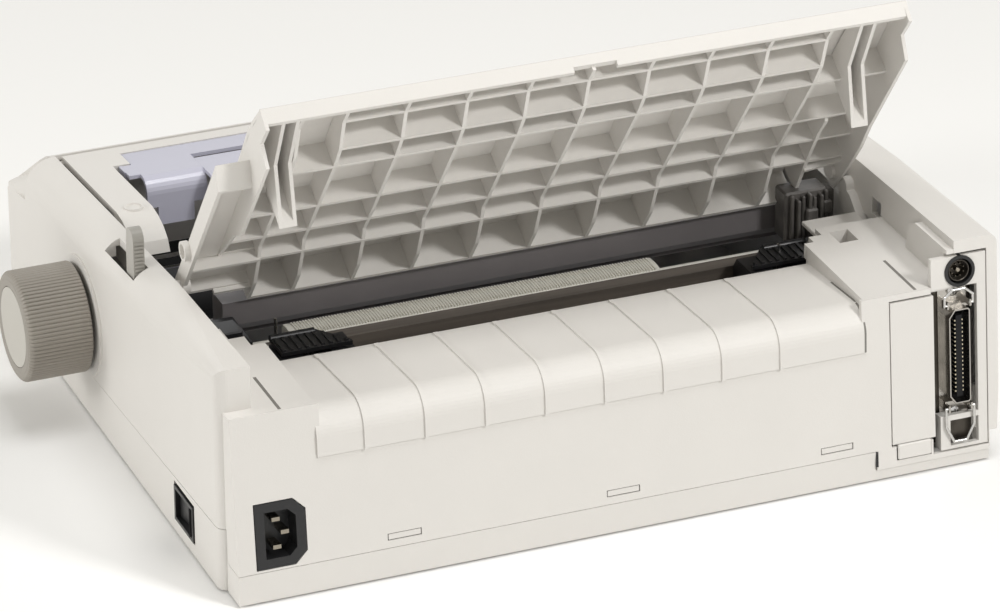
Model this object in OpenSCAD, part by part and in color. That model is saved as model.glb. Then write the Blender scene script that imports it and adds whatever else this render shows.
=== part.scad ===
// Desktop dot matrix printer, seen from behind with its paper separator raised.
// X runs along the platen (knob side positive), Y runs from front to back, Z is up.

/* [Case] */
// Width of the case without the platen knob
case_w = 398; // [396:0.5:400]
// Depth of the case from front face to label band
case_d = 345; // [344:0.5:346]
// Height of the case top at the back of the side housings
case_h = 117.4; // [116.5:0.1:118]
// Wall thickness of the moulded shells
wall = 2.6; // [2.2:0.1:2.8]
// Radius of the outer edge along the top of the connector side housing
edge_r = 6; // [4:0.5:7]
// Radius of the broad outer edge beside the gap lever
lever_edge_r = 16; // [12:1:16]
// Height of the ledges beside the rear hump
ledge_z = 95.4; // [94.8:0.1:95.6]
// Ground clearance of the base pan
ground_gap = 1.2; // [1:0.1:1.5]

/* [Rear hump] */
// Number of raised paper ribs on the hump
hump_ribs = 8; // [6:1:9]
// Spacing of the raised paper ribs
hump_pitch = 30.4; // [28:0.1:30.5]
// Height of each raised paper rib
hump_rib_h = 0.9; // [0.4:0.1:1.2]

/* [Paper separator] */
// Lean of the raised separator from the horizontal
sep_lean = 57.15; // [55:0.05:59]
// Length of the separator panel from lip to fascia
sep_len = 157.2; // [156:0.1:158]
// Number of full main ribs
sep_ribs = 9; // [7:1:9]
// Spacing of the main ribs
sep_pitch = 30.9; // [30:0.1:31]
// Thickness of the separator's ribs and skin
sep_t = 1.8; // [1.4:0.1:2]

/* [Platen and knob] */
// Radius of the rubber platen
platen_r = 15; // [14:0.1:15.5]
// Largest radius of the platen knob
knob_r = 27.6; // [26:0.1:28]
// Length of the platen knob
knob_len = 32.5; // [30:0.5:33]
// Number of grip ribs round the knob
knob_ribs = 90; // [60:2:100]

/* [Gear train] */
// Gear module of the paper feed train
gear_m = 1; // [1:0.01:1]
// Width of the feed gears
gear_w = 5; // [4:0.1:5]

/* [Pin tractors] */
// Width of one tractor along the shaft
tractor_w = 38; // [36:0.5:38]
// Number of paper pins round each tractor belt wheel
pins = 8; // [6:1:8]

/* [Parallel connector] */
// Number of contacts in one row of the ribbon connector
contacts = 18; // [18:1:18]
// Spacing of the contacts
contact_pitch = 2.159; // [2.159:0.001:2.159]

/* [Hidden] */
$fn = 48;
half_w = case_w / 2;
knob_gap = 3.5;
knob_reach = knob_gap + knob_len;
centre_x = -knob_reach / 2;
centre_y = -case_d / 2;

// inner faces of the side housings and of the opening between them
in_l = 182;
in_r = -176;
front_y = 34;
left_back_y = 329;
band_z = 16.5;
rear_slope = 0.104;
rear_lean = atan(rear_slope);
rear_l = 195.7;
rear_r = -193.8;

// colours
ivory = [0.87, 0.86, 0.82];
taupe = [0.56, 0.53, 0.50];
black = [0.10, 0.10, 0.11];
dark = [0.20, 0.20, 0.23];
smoke = [0.45, 0.47, 0.62, 0.6];
steel = [0.70, 0.71, 0.73];
rubber = [0.13, 0.13, 0.13];
brass = [0.78, 0.64, 0.32];
cream = [0.90, 0.88, 0.80];
green = [0.12, 0.38, 0.22];

// ---------- helpers ----------
function unit(v) = v / norm(v);

// a convex outline moved inwards by d
function inset(p, d) = let (n = len(p)) [for (i = [0:n - 1])
    let (a = p[(i + n - 1) % n], b = p[i], c = p[(i + 1) % n],
         u = unit(b - a), w = unit(c - b),
         nu = [-u[1], u[0]], nw = [-w[1], w[0]])
    b + d * (nu + nw) / (1 + nu * nw)];

function arc_points(c, r, a0, a1, n) = [for (i = [0:n])
    let (a = a0 + (a1 - a0) * i / n) c + r * [cos(a), sin(a)]];

// the shared frame: origin at the middle of the footprint, on the ground
module place() {
    translate([centre_x, centre_y, 0]) children();
}

// a YZ outline carried along X
module along_x(x0, x1) {
    translate([x0, 0, 0]) rotate([90, 0, 90]) linear_extrude(x1 - x0) children();
}

// a round bar along X through (y, z)
module bar_x(x0, x1, y, z, r) {
    translate([x0, y, z]) rotate([0, 90, 0]) cylinder(h = x1 - x0, r = r);
}

module box(x, y, z) {
    translate([x[0], y[0], z[0]]) cube([x[1] - x[0], y[1] - y[0], z[1] - z[0]]);
}

// ---------- case outline ----------
// parting line between the base pan and the upper case
function part_z(y) = 19 + 0.0456 * y;
// the leaning rear face
function rear_y(z) = case_d - rear_slope * (z - band_z);
// the top of the side housings, which rises to the back
function top_z(y) = y > 229 ? 114.3 + (y - 229) * (case_h - 114.3) / 100 : 98 + (y - 33) * 16.3 / 196;

// side outline of a housing, closed at the back by the corners given
function side_outline(back) = concat([[0, 8]], back, [[229, top_z(229)], [36, top_z(36)]],
    [[31, 96.8], [27, 93.5], [8, 75], [4.5, 70.5], [1.6, 65], [0, 58]]);
left_outline = side_outline([[left_back_y, 8], [left_back_y, case_h]]);
right_outline = side_outline([[rear_y(8), 8], [rear_y(case_h), case_h + 0.2]]);

// what one stretch of a rounded top edge keeps: from [y, z, radius] a to b, for an outer face at x
module edge_keep(x, a, b) {
    run = sqrt(2 * pow(a[2] - b[2], 2) + pow(b[0] - a[0], 2) + pow(b[1] - a[1], 2));
    grow = 1 / cos(asin((a[2] - b[2]) / run));
    tilt = cos(atan((b[1] - a[1]) / (b[0] - a[0])));
    from = [x - a[2], a[0], a[1] - a[2] / tilt];
    to = [x - b[2], b[0], b[1] - b[2] / tilt];
    dir = unit(to - from);
    over = 12;
    taper = (b[2] - a[2]) / run * grow;
    linear_extrude(130) polygon([[x - 40, a[0]], [from[0], a[0]], [to[0], b[0]], [x - 40, b[0]]]);
    along_x(x - 40, x + 1) polygon([[a[0], 0], [b[0], 0], [b[0], to[2]], [a[0], from[2]]]);
    intersection() {
        translate(from - over * dir) rotate([0, acos(dir[2]), atan2(dir[1], dir[0])])
            cylinder(h = run + 2 * over, r1 = max(0.1, a[2] * grow - over * taper),
                r2 = max(0.1, b[2] * grow + over * taper), $fn = 96);
        box([x - 40, x + 1], [a[0], b[0]], [0, 130]);
    }
}

// a housing from its inner face to its outer face, with a rounded top edge and rounded upright corners
module soft_slab(outline, x_in, x_out, edge, r_back) intersection() {
    along_x(x_in, x_out) polygon(outline);
    union() for (i = [0:len(edge) - 2]) edge_keep(x_out, edge[i], edge[i + 1]);
    linear_extrude(130) let (y = outline[1][0]) polygon(concat([[x_in - 1, -1], [x_in - 1, y + 1],
        [x_out - r_back, y + 1]],
        arc_points([x_out - r_back, y - r_back], r_back, 90, 0, 8),
            arc_points([x_out - 7, 7], 7, 0, -90, 8), [[x_out - 7, -1]]));
}
// rounded top edge: places along it and its radius there
left_edge = [[-1, 66, 2], [8, 75, 2], [36, top_z(36), lever_edge_r], [229, top_z(229), lever_edge_r],
    [left_back_y + 1, top_z(left_back_y + 1), 5]];
right_edge = [[-1, 66, 2], [8, 75, 2], [36, top_z(36), edge_r], [229, top_z(229), edge_r],
    [rear_y(8) + 1, top_z(rear_y(8) + 1), 4]];

// the base pan's rear wall is cut down under the connector bay
notch_x = [rear_r - 0.1, -133];
notch_z = 6.6;
// everything above the parting line
module above_parting() difference() {
    children();
    for (r = [[-300, notch_x[0], band_z + 0.1], [notch_x[0] - 0.1, notch_x[1], notch_z + 0.3],
        [notch_x[1] - 0.1, 300, band_z + 0.1]])
        along_x(r[0], r[1]) polygon([[-9, -9], [400, -9], [400, r[2]], [left_back_y + 0.4, r[2]],
            [left_back_y + 0.4, part_z(left_back_y)], [-9, part_z(-9)]]);
}

module on_rear(x, z) {
    translate([x, rear_y(z), z]) rotate([rear_lean, 0, 0]) children();
}

// ---------- base ----------
foot_places = [[-165, 34], [165, 34], [-165, 305], [165, 305]];

// plan of the pan with its walls moved in by d
function pan_line(d) = concat(arc_points([7 - half_w, 7], 7 - d, 180, 270, 8),
    arc_points([half_w - 7, 7], 7 - d, 270, 360, 8), arc_points([half_w - 6, left_back_y - 6], 6 - d, 0, 90,
        8),
    [[rear_l - d, left_back_y - d], [rear_l - d, case_d - d], [rear_r + d, case_d - d],
    [rear_r + d, left_back_y - d], [-half_w + d, left_back_y - d]]);

module base_pan() place() color(ivory) {
    top = ground_gap + 2.4;
    difference() {
        union() {
            difference() {
                translate([0, 0, ground_gap]) linear_extrude(40) polygon(pan_line(0));
                translate([0, 0, top]) linear_extrude(40) polygon(pan_line(2.4));
            }
            for (x = [-150, 0, 150], y = [80, 255]) translate([x, y, top - 0.2]) cylinder(h = 1.6, r = 5);
        }
        along_x(-300, 300) polygon([[-9, part_z(0) - 0.4], [left_back_y, part_z(left_back_y) - 0.4],
            [left_back_y, band_z - 0.1], [400, band_z - 0.1], [400, 90], [-9, 90]]);
        for (p = foot_places) translate([p[0], p[1], ground_gap - 1]) cylinder(h = 2, r = 9);
        for (i = [0:11], x = [-110, 60]) box([x + i * 6, x + i * 6 + 2.6], [110, 150], [0, 9]);
        box([half_w - 4, half_w + 1], [263, 292], [7.5, 28.5]);
        box([notch_x[0] - 1, notch_x[1] + 0.4], [left_back_y + 0.2, 400], [notch_z, 90]);
    }
}

module rubber_feet() place() color(rubber)
    for (p = foot_places) translate([p[0], p[1], 0]) rotate_extrude()
        polygon([[0, 0], [7.6, 0], [8.6, 0.8], [8.6, ground_gap + 1], [0, ground_gap + 1]]);

// ---------- upper case ----------
hump_l = 153.6;
hump_r = -128.4;
hump_lip = [272, 86.4];
hump_back = [325.6, 90.9];
hump_roll = [326.6, 77.6, 13.3];
// outer skin of the rolled edge, raised by h
function hump_skin(h) = concat([[hump_lip[0] + h, hump_lip[1] + h * 0.4],
    [hump_lip[0] + 4, hump_lip[1] + 0.7 + h], hump_back + [0, h]],
    arc_points([hump_roll[0], hump_roll[1]], hump_roll[2] + h, 84, 6, 10), [[340.5 + h, 69.4]]);

module hump() {
    under = [[338.2, 69.4], for (p = arc_points([hump_roll[0], hump_roll[1]], hump_roll[2] - 2.2, 6, 84,
        10)) p,
        hump_back - [0, 2.3], [hump_lip[0] + 5, hump_lip[1] - 1.7], [hump_lip[0] + 1, hump_lip[1] - 3.4],
        [hump_lip[0], hump_lip[1] - 3.2]];
    along_x(hump_r - 0.1, hump_l + 0.1) polygon(concat(hump_skin(0), under));
    for (i = [0:hump_ribs - 1]) let (x = 129.8 - hump_pitch * i) if (x > hump_r + 3) {
        along_x(x - 0.7, x + 0.7) polygon(concat(hump_skin(hump_rib_h),
            [[339.6, 69.4], [326, 89], [273, 86]]));
        // each rib starts as a lens on the lip
        intersection() {
            along_x(x - 6, x + 6) polygon([[272, 85], [272, 86.5], [274.5, 87.9], [280, 88.4], [284, 88],
                [284, 85]]);
            translate([x, 276.5, 87.2]) scale(1.0) rotate([0, 0, 90]) lens(9, 2.6, 4);
        }
    }
    // walls that rise from the rolled edge to the ledges, and close its ends
    for (x = [hump_r - 2.2, hump_l - 0.2]) along_x(x, x + 2.4)
        polygon([[270, 84], [270, ledge_z - 0.1], [rear_y(ledge_z) - 0.3, ledge_z - 0.1],
            [rear_y(68) - 0.3, 68],
            [rear_y(68) - 3, 68], [332, 80], [320, 84]]);
}

// an upright prism whose outline is two arcs meeting in points
module lens(len, w, h) {
    r = (len * len / 4 + w * w / 4) / w;
    translate([0, 0, -h / 2]) linear_extrude(h) intersection() {
        translate([0, w / 2 - r]) circle(r = r);
        translate([0, r - w / 2]) circle(r = r);
    }
}

// stepped ledge plates beside the hump
module ledges() {
    z = [ledge_z - 2.4, ledge_z];
    difference() {
        union() {
            box([hump_l - 0.5, 160], [268, 336], z);
            box([160, 168], [258, 336], z);
            box([168, in_l + 1], [246, 336], z);
            box([in_l - 1, rear_l], [left_back_y - 1, 336.2], z);
            box([-134, hump_r + 0.5], [268, 336], z);
            box([-141, -133], [262, 336], z);
            box([in_r - 1, -140], [254.6, 336], z);
        }
        // slot that takes the right pair of the separator's fins
        box([-154.5, -144.5], [261, 274], [z[0] - 1, z[1] + 1]);
        for (x = [170, -156]) box([x - 0.5, x + 0.5], [313, 340], [ledge_z - 0.8, ledge_z + 1]);
    }
    // thickening of the right wall behind the separator's end
    along_x(in_r - 1, -172.2) polygon([[290, ledge_z - 1], [rear_y(ledge_z) - 0.2, ledge_z - 1],
        [rear_y(113) - 0.2, 113.2],
        [300, 112.6], [293, 109]]);
    // front skirts under the ledges
    box([hump_l - 0.5, 155], [268, 270.4], [88, ledge_z - 1]);
    box([-128, hump_r + 0.5], [268, 270.4], [88, ledge_z - 1]);
}

module rear_face() {
    slope_len = (ledge_z - band_z) / cos(rear_lean);
    on_rear(0, band_z + 0.2) difference() {
        union() {
            box([rear_r, rear_l], [-wall, 0], [0, slope_len]);
            box([rear_r, in_r], [-wall, 0], [0, slope_len + 21]);
            box([rear_r, notch_x[1] - 0.1], [-wall, 0], [notch_z - band_z, 1]);
        }
        // window of the interface panel and the round socket
        box([-193.4, -163.4], [-9, 2], [9.2 - band_z, 95.2]);
        // seat of the mains inlet
        translate([inlet[0], 0, (inlet[1] - band_z) / cos(rear_lean) - 0.2]) {
            linear_extrude_y(-9, 2) inlet_outline(20.4, 27.8);
            linear_extrude_y(-2.1, 2) inlet_outline(25.8, 33.8);
        }
        // bay for the option card and the connector, and the fold above the hump
        box([-165, -141], [-9, 2], [0.6, 76.3]);
        box([-162.4, -143.6], [-9, 2], [-6.8, 2]);
        box([hump_r + 2, hump_l - 2], [-9, 2], [56, 99]);
        // three moulded slots for the cable cover
        for (x = [112.4, 0.5, -111.9]) box([x - 8.6, x + 8.6], [-0.8, 2], [3.7, 7.3]);
    }
    // return of the rear face beside the left housing
    along_x(rear_l - wall, rear_l) polygon([[left_back_y - 1, band_z + 0.2],
        [rear_y(band_z) - 0.5, band_z + 0.2], [rear_y(ledge_z) - 0.5, ledge_z], [left_back_y - 1, ledge_z]]);
}

// opening in the inner wall of a housing, inside the front shell
side_opening = [[wall + 0.4, 0], [left_back_y - wall, 0], [left_back_y - wall, 89], [24, 89], [10.5, 74.5],
    [wall + 0.6, 58]];

module left_housing() {
    difference() {
        soft_slab(left_outline, in_l, half_w, left_edge, 6);
        // hollow, stepped down under the broad outer edge
        along_x(in_l + wall, half_w - 9) polygon(inset(left_outline, wall + 2.2));
        along_x(half_w - 9.5, half_w - wall) polygon(inset(left_outline, wall + 7.6));
        // the mechanism side is open below the opening's edge
        along_x(in_l - 1, in_l + wall + 1) polygon(side_opening);
        // slot that the gap lever swings in
        box([lever_x[0] - 1.2, lever_x[1] + 0.9], [157, lever_back + 1.5], [90, 130]);
        // knob shaft hole
        bar_x(half_w - 9, half_w + 9, platen_y, platen_z, 9);
        // guide slot of the separator's pivot pin
        pivot_slot(in_l - 1, in_l + wall + 1);
        // rocker switch window
        box([half_w - 6, half_w + 1], [263, 292], [8, 29]);
    }
    // boss ring round the knob shaft
    difference() {
        bar_x(half_w - 1.5, half_w + 1.2, platen_y, platen_z, 31);
        bar_x(half_w - 9, half_w + 9, platen_y, platen_z, 9);
    }
    // stub the gap lever turns on
    bar_x(lever_x[0] - 1.4, half_w - wall + 0.2, lever_pivot[0], lever_pivot[1], 3);
}

module right_housing() {
    difference() {
        mirror([1, 0, 0]) soft_slab(right_outline, -in_r, half_w, right_edge, 4);
        along_x(-half_w + wall, in_r - wall) polygon(inset(right_outline, wall));
        along_x(in_r - wall - 1, in_r + 1) polygon(side_opening);
        box([-188, -141], [300, 360], [0, 94]);
        pivot_slot(in_r - wall - 1, in_r + 1);
        // pocket beside the hinge post
        box([in_r - wall - 1, in_r + 1], [244, 254], [93, 102]);
        // window of the interface panel and the round socket
        on_rear(0, band_z) box([-193.4, -163.4], [-wall - 1, 2], [9.2 - band_z, 95.2]);
    }
}

module pivot_slot(x0, x1) {
    for (y = [pivot_y - pivot_travel, pivot_y]) bar_x(x0, x1, y, pivot_z, pivot_r + 0.1);
    box([x0, x1], [pivot_y - pivot_travel, pivot_y], [pivot_z - pivot_r - 0.1, pivot_z + pivot_r + 0.1]);
}

module front_apron() {
    // front shell between the housings, and its sloping control panel
    difference() {
        along_x(in_r - 0.5, in_l + 0.5) polygon(left_outline);
        along_x(in_r - 3, in_l + 3) polygon(inset(left_outline, wall));
        box([in_r - 3, in_l + 3], [front_y, 400], [-9, 200]);
        for (x = button_xs) on_panel(x) box([-button_w / 2 - 0.4, button_w / 2 + 0.4], [-5.4, 5.4], [-9, 9]);
        box([in_r - 3, in_l + 3], [-9, 40], [-9, 12]);
    }
}

module upper_case() place() color(ivory) difference() {
    above_parting() case_shell();
    // seats of the interface panel and the round socket
    on_rear(port[0], port[1]) {
        box([-15.6, 14.4], [-3.7, 4], [35.2, 53]);
        translate([-1.3, 1, 43.4]) rotate([90, 0, 0]) cylinder(h = 10.6, r = 8.3);
    }
}
module case_shell() {
    left_housing();
    right_housing();
    front_apron();
    rear_face();
    ledges();
    hump();
    // post and fin beside the separator's end
    along_x(in_r - 0.5, -171.6) polygon(concat([[214.6, 86], [214.6, 98]],
        arc_points([219, 98], 4.4, 170, 10, 8),
        [[223.6, 97], [227, 96], [241, 84.5], [241, 82], [218, 82]]));
    // stub pins the access cover turns on
    bar_x(cover_l - 3, in_l + 0.5, hinge_y, hinge_z, 2.94);
    bar_x(in_r - 0.5, cover_r + 3, hinge_y, hinge_z, 2.94);
    // seats for the access cover along the front edge
    box([in_r, in_l], [front_y - 4, front_y + 4], [top_z(36) - 6.5, top_z(36) - 4.2]);
}

// ---------- control panel ----------
// frame on the sloping front panel: x along the panel, y up the slope, z outwards
panel_mid = [17.5, 84.2];
panel_tilt = atan(18.5 / 19);
button_w = 16;
button_xs = [120, 96, 72];
module on_panel(x) {
    translate([x, panel_mid[0], panel_mid[1]]) rotate([panel_tilt, 0, 0]) children();
}
module button(x) on_panel(x) {
    box([-button_w / 2, button_w / 2], [-5, 5], [-wall - 1.4, 1.6]);
    box([-button_w / 2 - 1, button_w / 2 + 1], [-6, 6], [-wall - 2.2, -wall - 0.6]);
}
module select_button() place() color(taupe) button(button_xs[0]);
module feed_button() place() color(taupe) button(button_xs[1]);
module load_button() place() color(taupe) button(button_xs[2]);

// ---------- steel frame ----------
platen_y = 127;
platen_z = 54;
train = 20 + 43 + 43 + 20;
tractor_z = 68;
tractor_y = platen_y + sqrt(train * train - pow(tractor_z - platen_z, 2));
train_dir = atan2(tractor_z - platen_z, tractor_y - platen_y);
carriage_y = 86;
carriage_z = 46;
frame_l = 176;
frame_r = -166.4;
frame_t = 1.6;
gear_x = 179.2;
pinion_dir = 270;
// the angle from a direction to the nearest tooth of the platen gear
function to_tooth(dir) = 9 * round((dir - train_dir) / 9) - (dir - train_dir);

module base_plate() place() color(steel) difference() {
    box([frame_r - frame_t, frame_l + frame_t], [58, 276], [5, 6.4]);
    for (x = [-150, 0, 150], y = [80, 255]) translate([x, y, 4]) cylinder(h = 4, r = 1.7);
}

frame_outline = [[58, 6.4], [276, 6.4], [276, 72], [262, 84], [226, 84], [214, 76], [150, 76],
    [142, 82], [110, 82], [58, 62]];

module frame_sheet(x) difference() {
    along_x(x, x + frame_t) polygon(frame_outline);
    bar_x(x - 1, x + 3, platen_y, platen_z, 7);
    bar_x(x - 1, x + 3, tractor_y, tractor_z, 3.06);
    bar_x(x - 1, x + 3, carriage_y, carriage_z, 5.02);
    along_x(x - 1, x + 3) polygon([[160, 14], [204, 14], [204, 44], [172, 44]]);
}

module side_frame_left() place() color(steel) {
    difference() {
        frame_sheet(frame_l);
        bar_x(frame_l - 1, frame_l + 3, platen_y, platen_z - 26, 3.5);
    }
    for (d = [41.5, 84.5]) let (y = platen_y + d * cos(train_dir), z = platen_z + d * sin(train_dir))
        bar_x(frame_l + frame_t - 0.1, gear_x + gear_w + 1.2, y, z, 3);
}
module side_frame_right() place() color(steel) frame_sheet(frame_r - frame_t);

// flanged bushes, each with its flange on the inner side of its frame
module platen_bushings() place() color(brass)
    for (p = [[frame_l - 1.6, frame_l + 2], [frame_r + 1.6, frame_r - 2]]) difference() {
        union() {
            bar_x(min(p[0], p[0] + sign(p[0]) * 1.5), max(p[0], p[0] + sign(p[0]) * 1.5), platen_y,
                platen_z, 9);
            bar_x(min(p), max(p), platen_y, platen_z, 6.98);
        }
        bar_x(min(p) - 1, max(p) + 1, platen_y, platen_z, 4.05);
    }

// ---------- platen ----------
knob_x = half_w + knob_gap;

module platen_shaft() place() color(steel) bar_x(-171, knob_x + 24, platen_y, platen_z, 4);

module platen_roller() place() color(rubber) difference() {
    bar_x(-146, 156, platen_y, platen_z, platen_r);
    bar_x(-147, 157, platen_y, platen_z, 4.02);
}

module gear(teeth, width, bore, phase) {
    r = gear_m * teeth / 2;
    root = r - 1.25 * gear_m;
    tip = r + 0.9 * gear_m;
    a = 360 / teeth;
    difference() {
        linear_extrude(width) polygon([for (i = [0:teeth - 1],
            k = [[-0.28, root], [-0.11, tip], [0.11, tip], [0.28, root]])
            let (t = phase + a * (i + k[0])) k[1] * [cos(t), sin(t)]]);
        translate([0, 0, -1]) cylinder(h = width + 2, r = bore);
    }
}

// a gear standing in the YZ plane; angles run from +Y towards +Z
module gear_at(teeth, y, z, bore, phase) {
    translate([gear_x, y, z]) rotate([90, 0, 90]) gear(teeth, gear_w, bore, phase);
}
function along_train(d) = [platen_y + d * cos(train_dir), platen_z + d * sin(train_dir)];

module platen_gear() place() color(cream)
    gear_at(40, platen_y, platen_z, 4.02, train_dir);
module idler_gear_front() place() color(cream)
    gear_at(43, along_train(41.5)[0], along_train(41.5)[1], 3.06, train_dir + 180 + 180 / 43);
module idler_gear_rear() place() color(cream)
    gear_at(43, along_train(84.5)[0], along_train(84.5)[1], 3.06, train_dir + 180 + 180 / 43);
module tractor_gear() place() color(cream)
    gear_at(40, tractor_y, tractor_z, 3.02, train_dir + 180 + 180 / 40);

module feed_pinion() place() color(brass) {
    y = platen_y + 26 * cos(pinion_dir);
    z = platen_z + 26 * sin(pinion_dir);
    translate([gear_x, y, z]) rotate([90, 0, 90]) gear(12, gear_w, 1.5,
        pinion_dir + 195 - to_tooth(pinion_dir) * 40 / 12);
    bar_x(frame_l - 6, gear_x + gear_w + 1, y, z, 1.5);
}
module feed_motor() place() color(dark) {
    y = platen_y + 26 * cos(pinion_dir);
    z = platen_z + 26 * sin(pinion_dir);
    difference() {
        union() {
            bar_x(frame_l - 18.8, frame_l - 1.4, y, z, 15);
            box([frame_l - 1.5, frame_l - 0.1], [y - 20, y + 20], [z - 15, z + 15]);
        }
        bar_x(frame_l - 8, frame_l + 3, y, z, 1.56);
    }
}

module platen_knob() place() color(taupe) translate([knob_x, platen_y, platen_z]) rotate([90, 0, 90]) {
    difference() {
        union() {
            // straight grip with its ribs
            linear_extrude(knob_len - 3.5) polygon([for (i = [0:2 * knob_ribs - 1])
                let (a = 180 * i / knob_ribs, r = knob_r - (i % 2 == 0 ? 0 : 0.7)) r * [cos(a), sin(a)]]);
            translate([0, 0, knob_len - 3.5]) rotate_extrude($fn = 96)
                polygon([[0, 0], [knob_r - 0.9, 0], [knob_r - 3.6, 3.5], [0, 3.5]]);
        }
        // shaft bore and the seat of the cap
        translate([0, 0, -1]) cylinder(h = 26, r = 4.02);
        translate([0, 0, knob_len - 1.6]) cylinder(h = 3, r = 20.5);
        // hollow back
        translate([0, 0, -1]) difference() {
            cylinder(h = 22, r = knob_r - 3);
            cylinder(h = 22, r = 8);
        }
    }
}
module knob_cap() place() color(ivory) translate([knob_x + knob_len - 1.6, platen_y, platen_z])
    rotate([0, 90, 0])
    cylinder(h = 1.6, r = 20.2);

// ---------- pin tractors ----------
tractor_outline = [[237, 61], [268, 61], [268, 70], [259, 79.4], [241, 79.4], [237, 74]];
rail_y = [262, 276];
rail_z = [52, 57];

module tractor_shaft() place() color(steel) {
    box([-160, 170], [tractor_y - 3, tractor_y + 3], [tractor_z - 3, tractor_z + 3]);
    bar_x(-170, -159, tractor_y, tractor_z, 3);
    bar_x(169, gear_x + gear_w + 0.8, tractor_y, tractor_z, 3);
}
module tractor_rail() place() color([0.22, 0.18, 0.16])
    box([frame_r + 0.3, frame_l - 0.3], rail_y, rail_z);

// a tractor whose inner face is at x, its paper pins on the side s
module tractor(x) difference() {
    union() {
        along_x(x, x + tractor_w) polygon(tractor_outline);
        box([x, x + tractor_w], [258, 280], [48, 61.5]);
        for (i = [0:8]) box([x + 3 + i * 3.6, x + 4.4 + i * 3.6], [262, 267.9], [69, 75.6]);
    }
    // wheel bay, shaft clearance and the rail's groove
    box([x + 12, x + 26], [235, 266], [60, 90]);
    bar_x(x - 1, x + tractor_w + 1, tractor_y, tractor_z, 5.2);
    box([x - 1, x + tractor_w + 1], [rail_y[0] - 0.3, rail_y[1] + 0.3], [rail_z[0] - 0.3, rail_z[1] + 0.3]);
}
module pin_wheel(x) difference() {
    union() {
        bar_x(x + 13, x + 25, tractor_y, tractor_z, 7.2);
        for (i = [0:pins - 1]) translate([x + 19, tractor_y, tractor_z]) rotate([360 * i / pins + 10, 0, 0])
            translate([0, 0, 6]) cylinder(h = 3.6, r1 = 1.9, r2 = 1.2, $fn = 24);
    }
    box([x + 12, x + 26], [tractor_y - 3.08, tractor_y + 3.08], [tractor_z - 3.08, tractor_z + 3.08]);
}
// the lid's front corner towards the middle of the paper, on the side s, is cut back
module tractor_lid(x, s) {
    mid = x + tractor_w / 2;
    h = tractor_w / 2 - 1;
    difference() {
        union() {
            translate([mid, 0, 80.6]) scale([s, 1, 1]) linear_extrude(2)
                polygon([[-h, 258], [h, 258], [h, 238.6], [13 - h, 238.6], [-h, 256]]);
            translate([mid, 0, 0]) scale([s, 1, 1]) bar_x(13.5 - h, h, 240.5, 82.2, 1.9);
            for (i = [0:8]) let (u = 2.4 + i * 4) translate([mid - s * h + s * u, 0, 0])
                box([-0.7, 0.7], [max(242.8, 257.5 - 1.3 * u), 257], [82.5, 83.4]);
        }
        box([x + 15, x + 23], [244, 256.5], [79, 82]);
    }
}
left_tractor_x = 104;
right_tractor_x = -142;
module left_tractor() place() color(black) tractor(left_tractor_x);
module right_tractor() place() color(black) tractor(right_tractor_x);
module left_pin_wheel() place() color(dark) pin_wheel(left_tractor_x);
module right_pin_wheel() place() color(dark) pin_wheel(right_tractor_x);
module left_tractor_lid() place() color(black) tractor_lid(left_tractor_x, 1);
module right_tractor_lid() place() color(black) tractor_lid(right_tractor_x, -1);

module ribbed_guide_bar() place() color(cream) {
    bar_x(frame_r + 0.2, frame_l - 0.2, 217, 66, 3);
    along_x(-70, 124) polygon(concat([[209.5, 63], [209.5, 70.5]],
        [for (i = [0:8]) let (y = 211 + 1.8 * i) [y, 73.6 - 0.012 * pow(y - 218, 2)]],
            [[226.2, 71], [226.2, 63]]));
    // fine ribs across its top
    translate([0, 225.2, 0]) rotate([90, 0, 0]) linear_extrude(13)
        polygon(concat([for (i = [0:125], k = [[0, 72.6],
        [0.2, 74], [0.8, 74], [1, 72.6]]) [-68 + i * rib_pitch + k[0], k[1]]], [[122, 72], [-68, 72]]));
}
rib_pitch = 1.5;

module support_bar() place() color(black)
    box([frame_r + 0.3, frame_l - 0.3], [226.6, 235.6], [62, 73.2]);

module paper_guide_strip() place() color(dark) difference() {
    union() {
        along_x(-150, 151) polygon([[186, 68], [198, 68], [201, 72], [201, 84.5], [186, 84.5]]);
        box([frame_r + 0.3, frame_l - 0.3], [186, 194], [64, 70]);
    }
    along_x(-148, 149) polygon([[188, 70.2], [196.8, 70.2], [199, 73.2], [199, 82.5], [188, 82.5]]);
}

// ---------- carriage ----------
module carriage_shaft() place() color(steel)
    bar_x(frame_r - frame_t - 0.4, frame_l + frame_t + 0.4, carriage_y, carriage_z, 5);

module carriage() place() color(black) difference() {
    union() {
        box([-24, 24], [72, 99.5], [36, 60]);
        box([-12, 12], [67.7, 73], [38, 52]);
    }
    bar_x(-30, 30, carriage_y, carriage_z, 5.06);
    box([-15, 15], [90, 103], [52, 61]);
}
module print_head() place() color(dark) {
    box([-14.8, 14.8], [90.2, 101], [52.2, 63.6]);
    translate([0, 100.2, 55]) rotate([-90, 0, 0]) cylinder(h = 11, r1 = 9, r2 = 4);
    for (i = [0:5]) box([-14.8, 14.8], [84 + i * 1, 84.5 + i * 1], [60.2, 64]);
    box([-14.8, 14.8], [83.8, 92], [60.2, 61.6]);
}
module ribbon_cartridge() place() color(dark) difference() {
    union() {
        box([-42, 42], [60, 98], [64.4, 75.4]);
        for (x = [-42, 32]) box([x, x + 10], [97, 107], [64.4, 74]);
    }
    box([-14, 14], [88, 99], [60, 80]);
}

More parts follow.
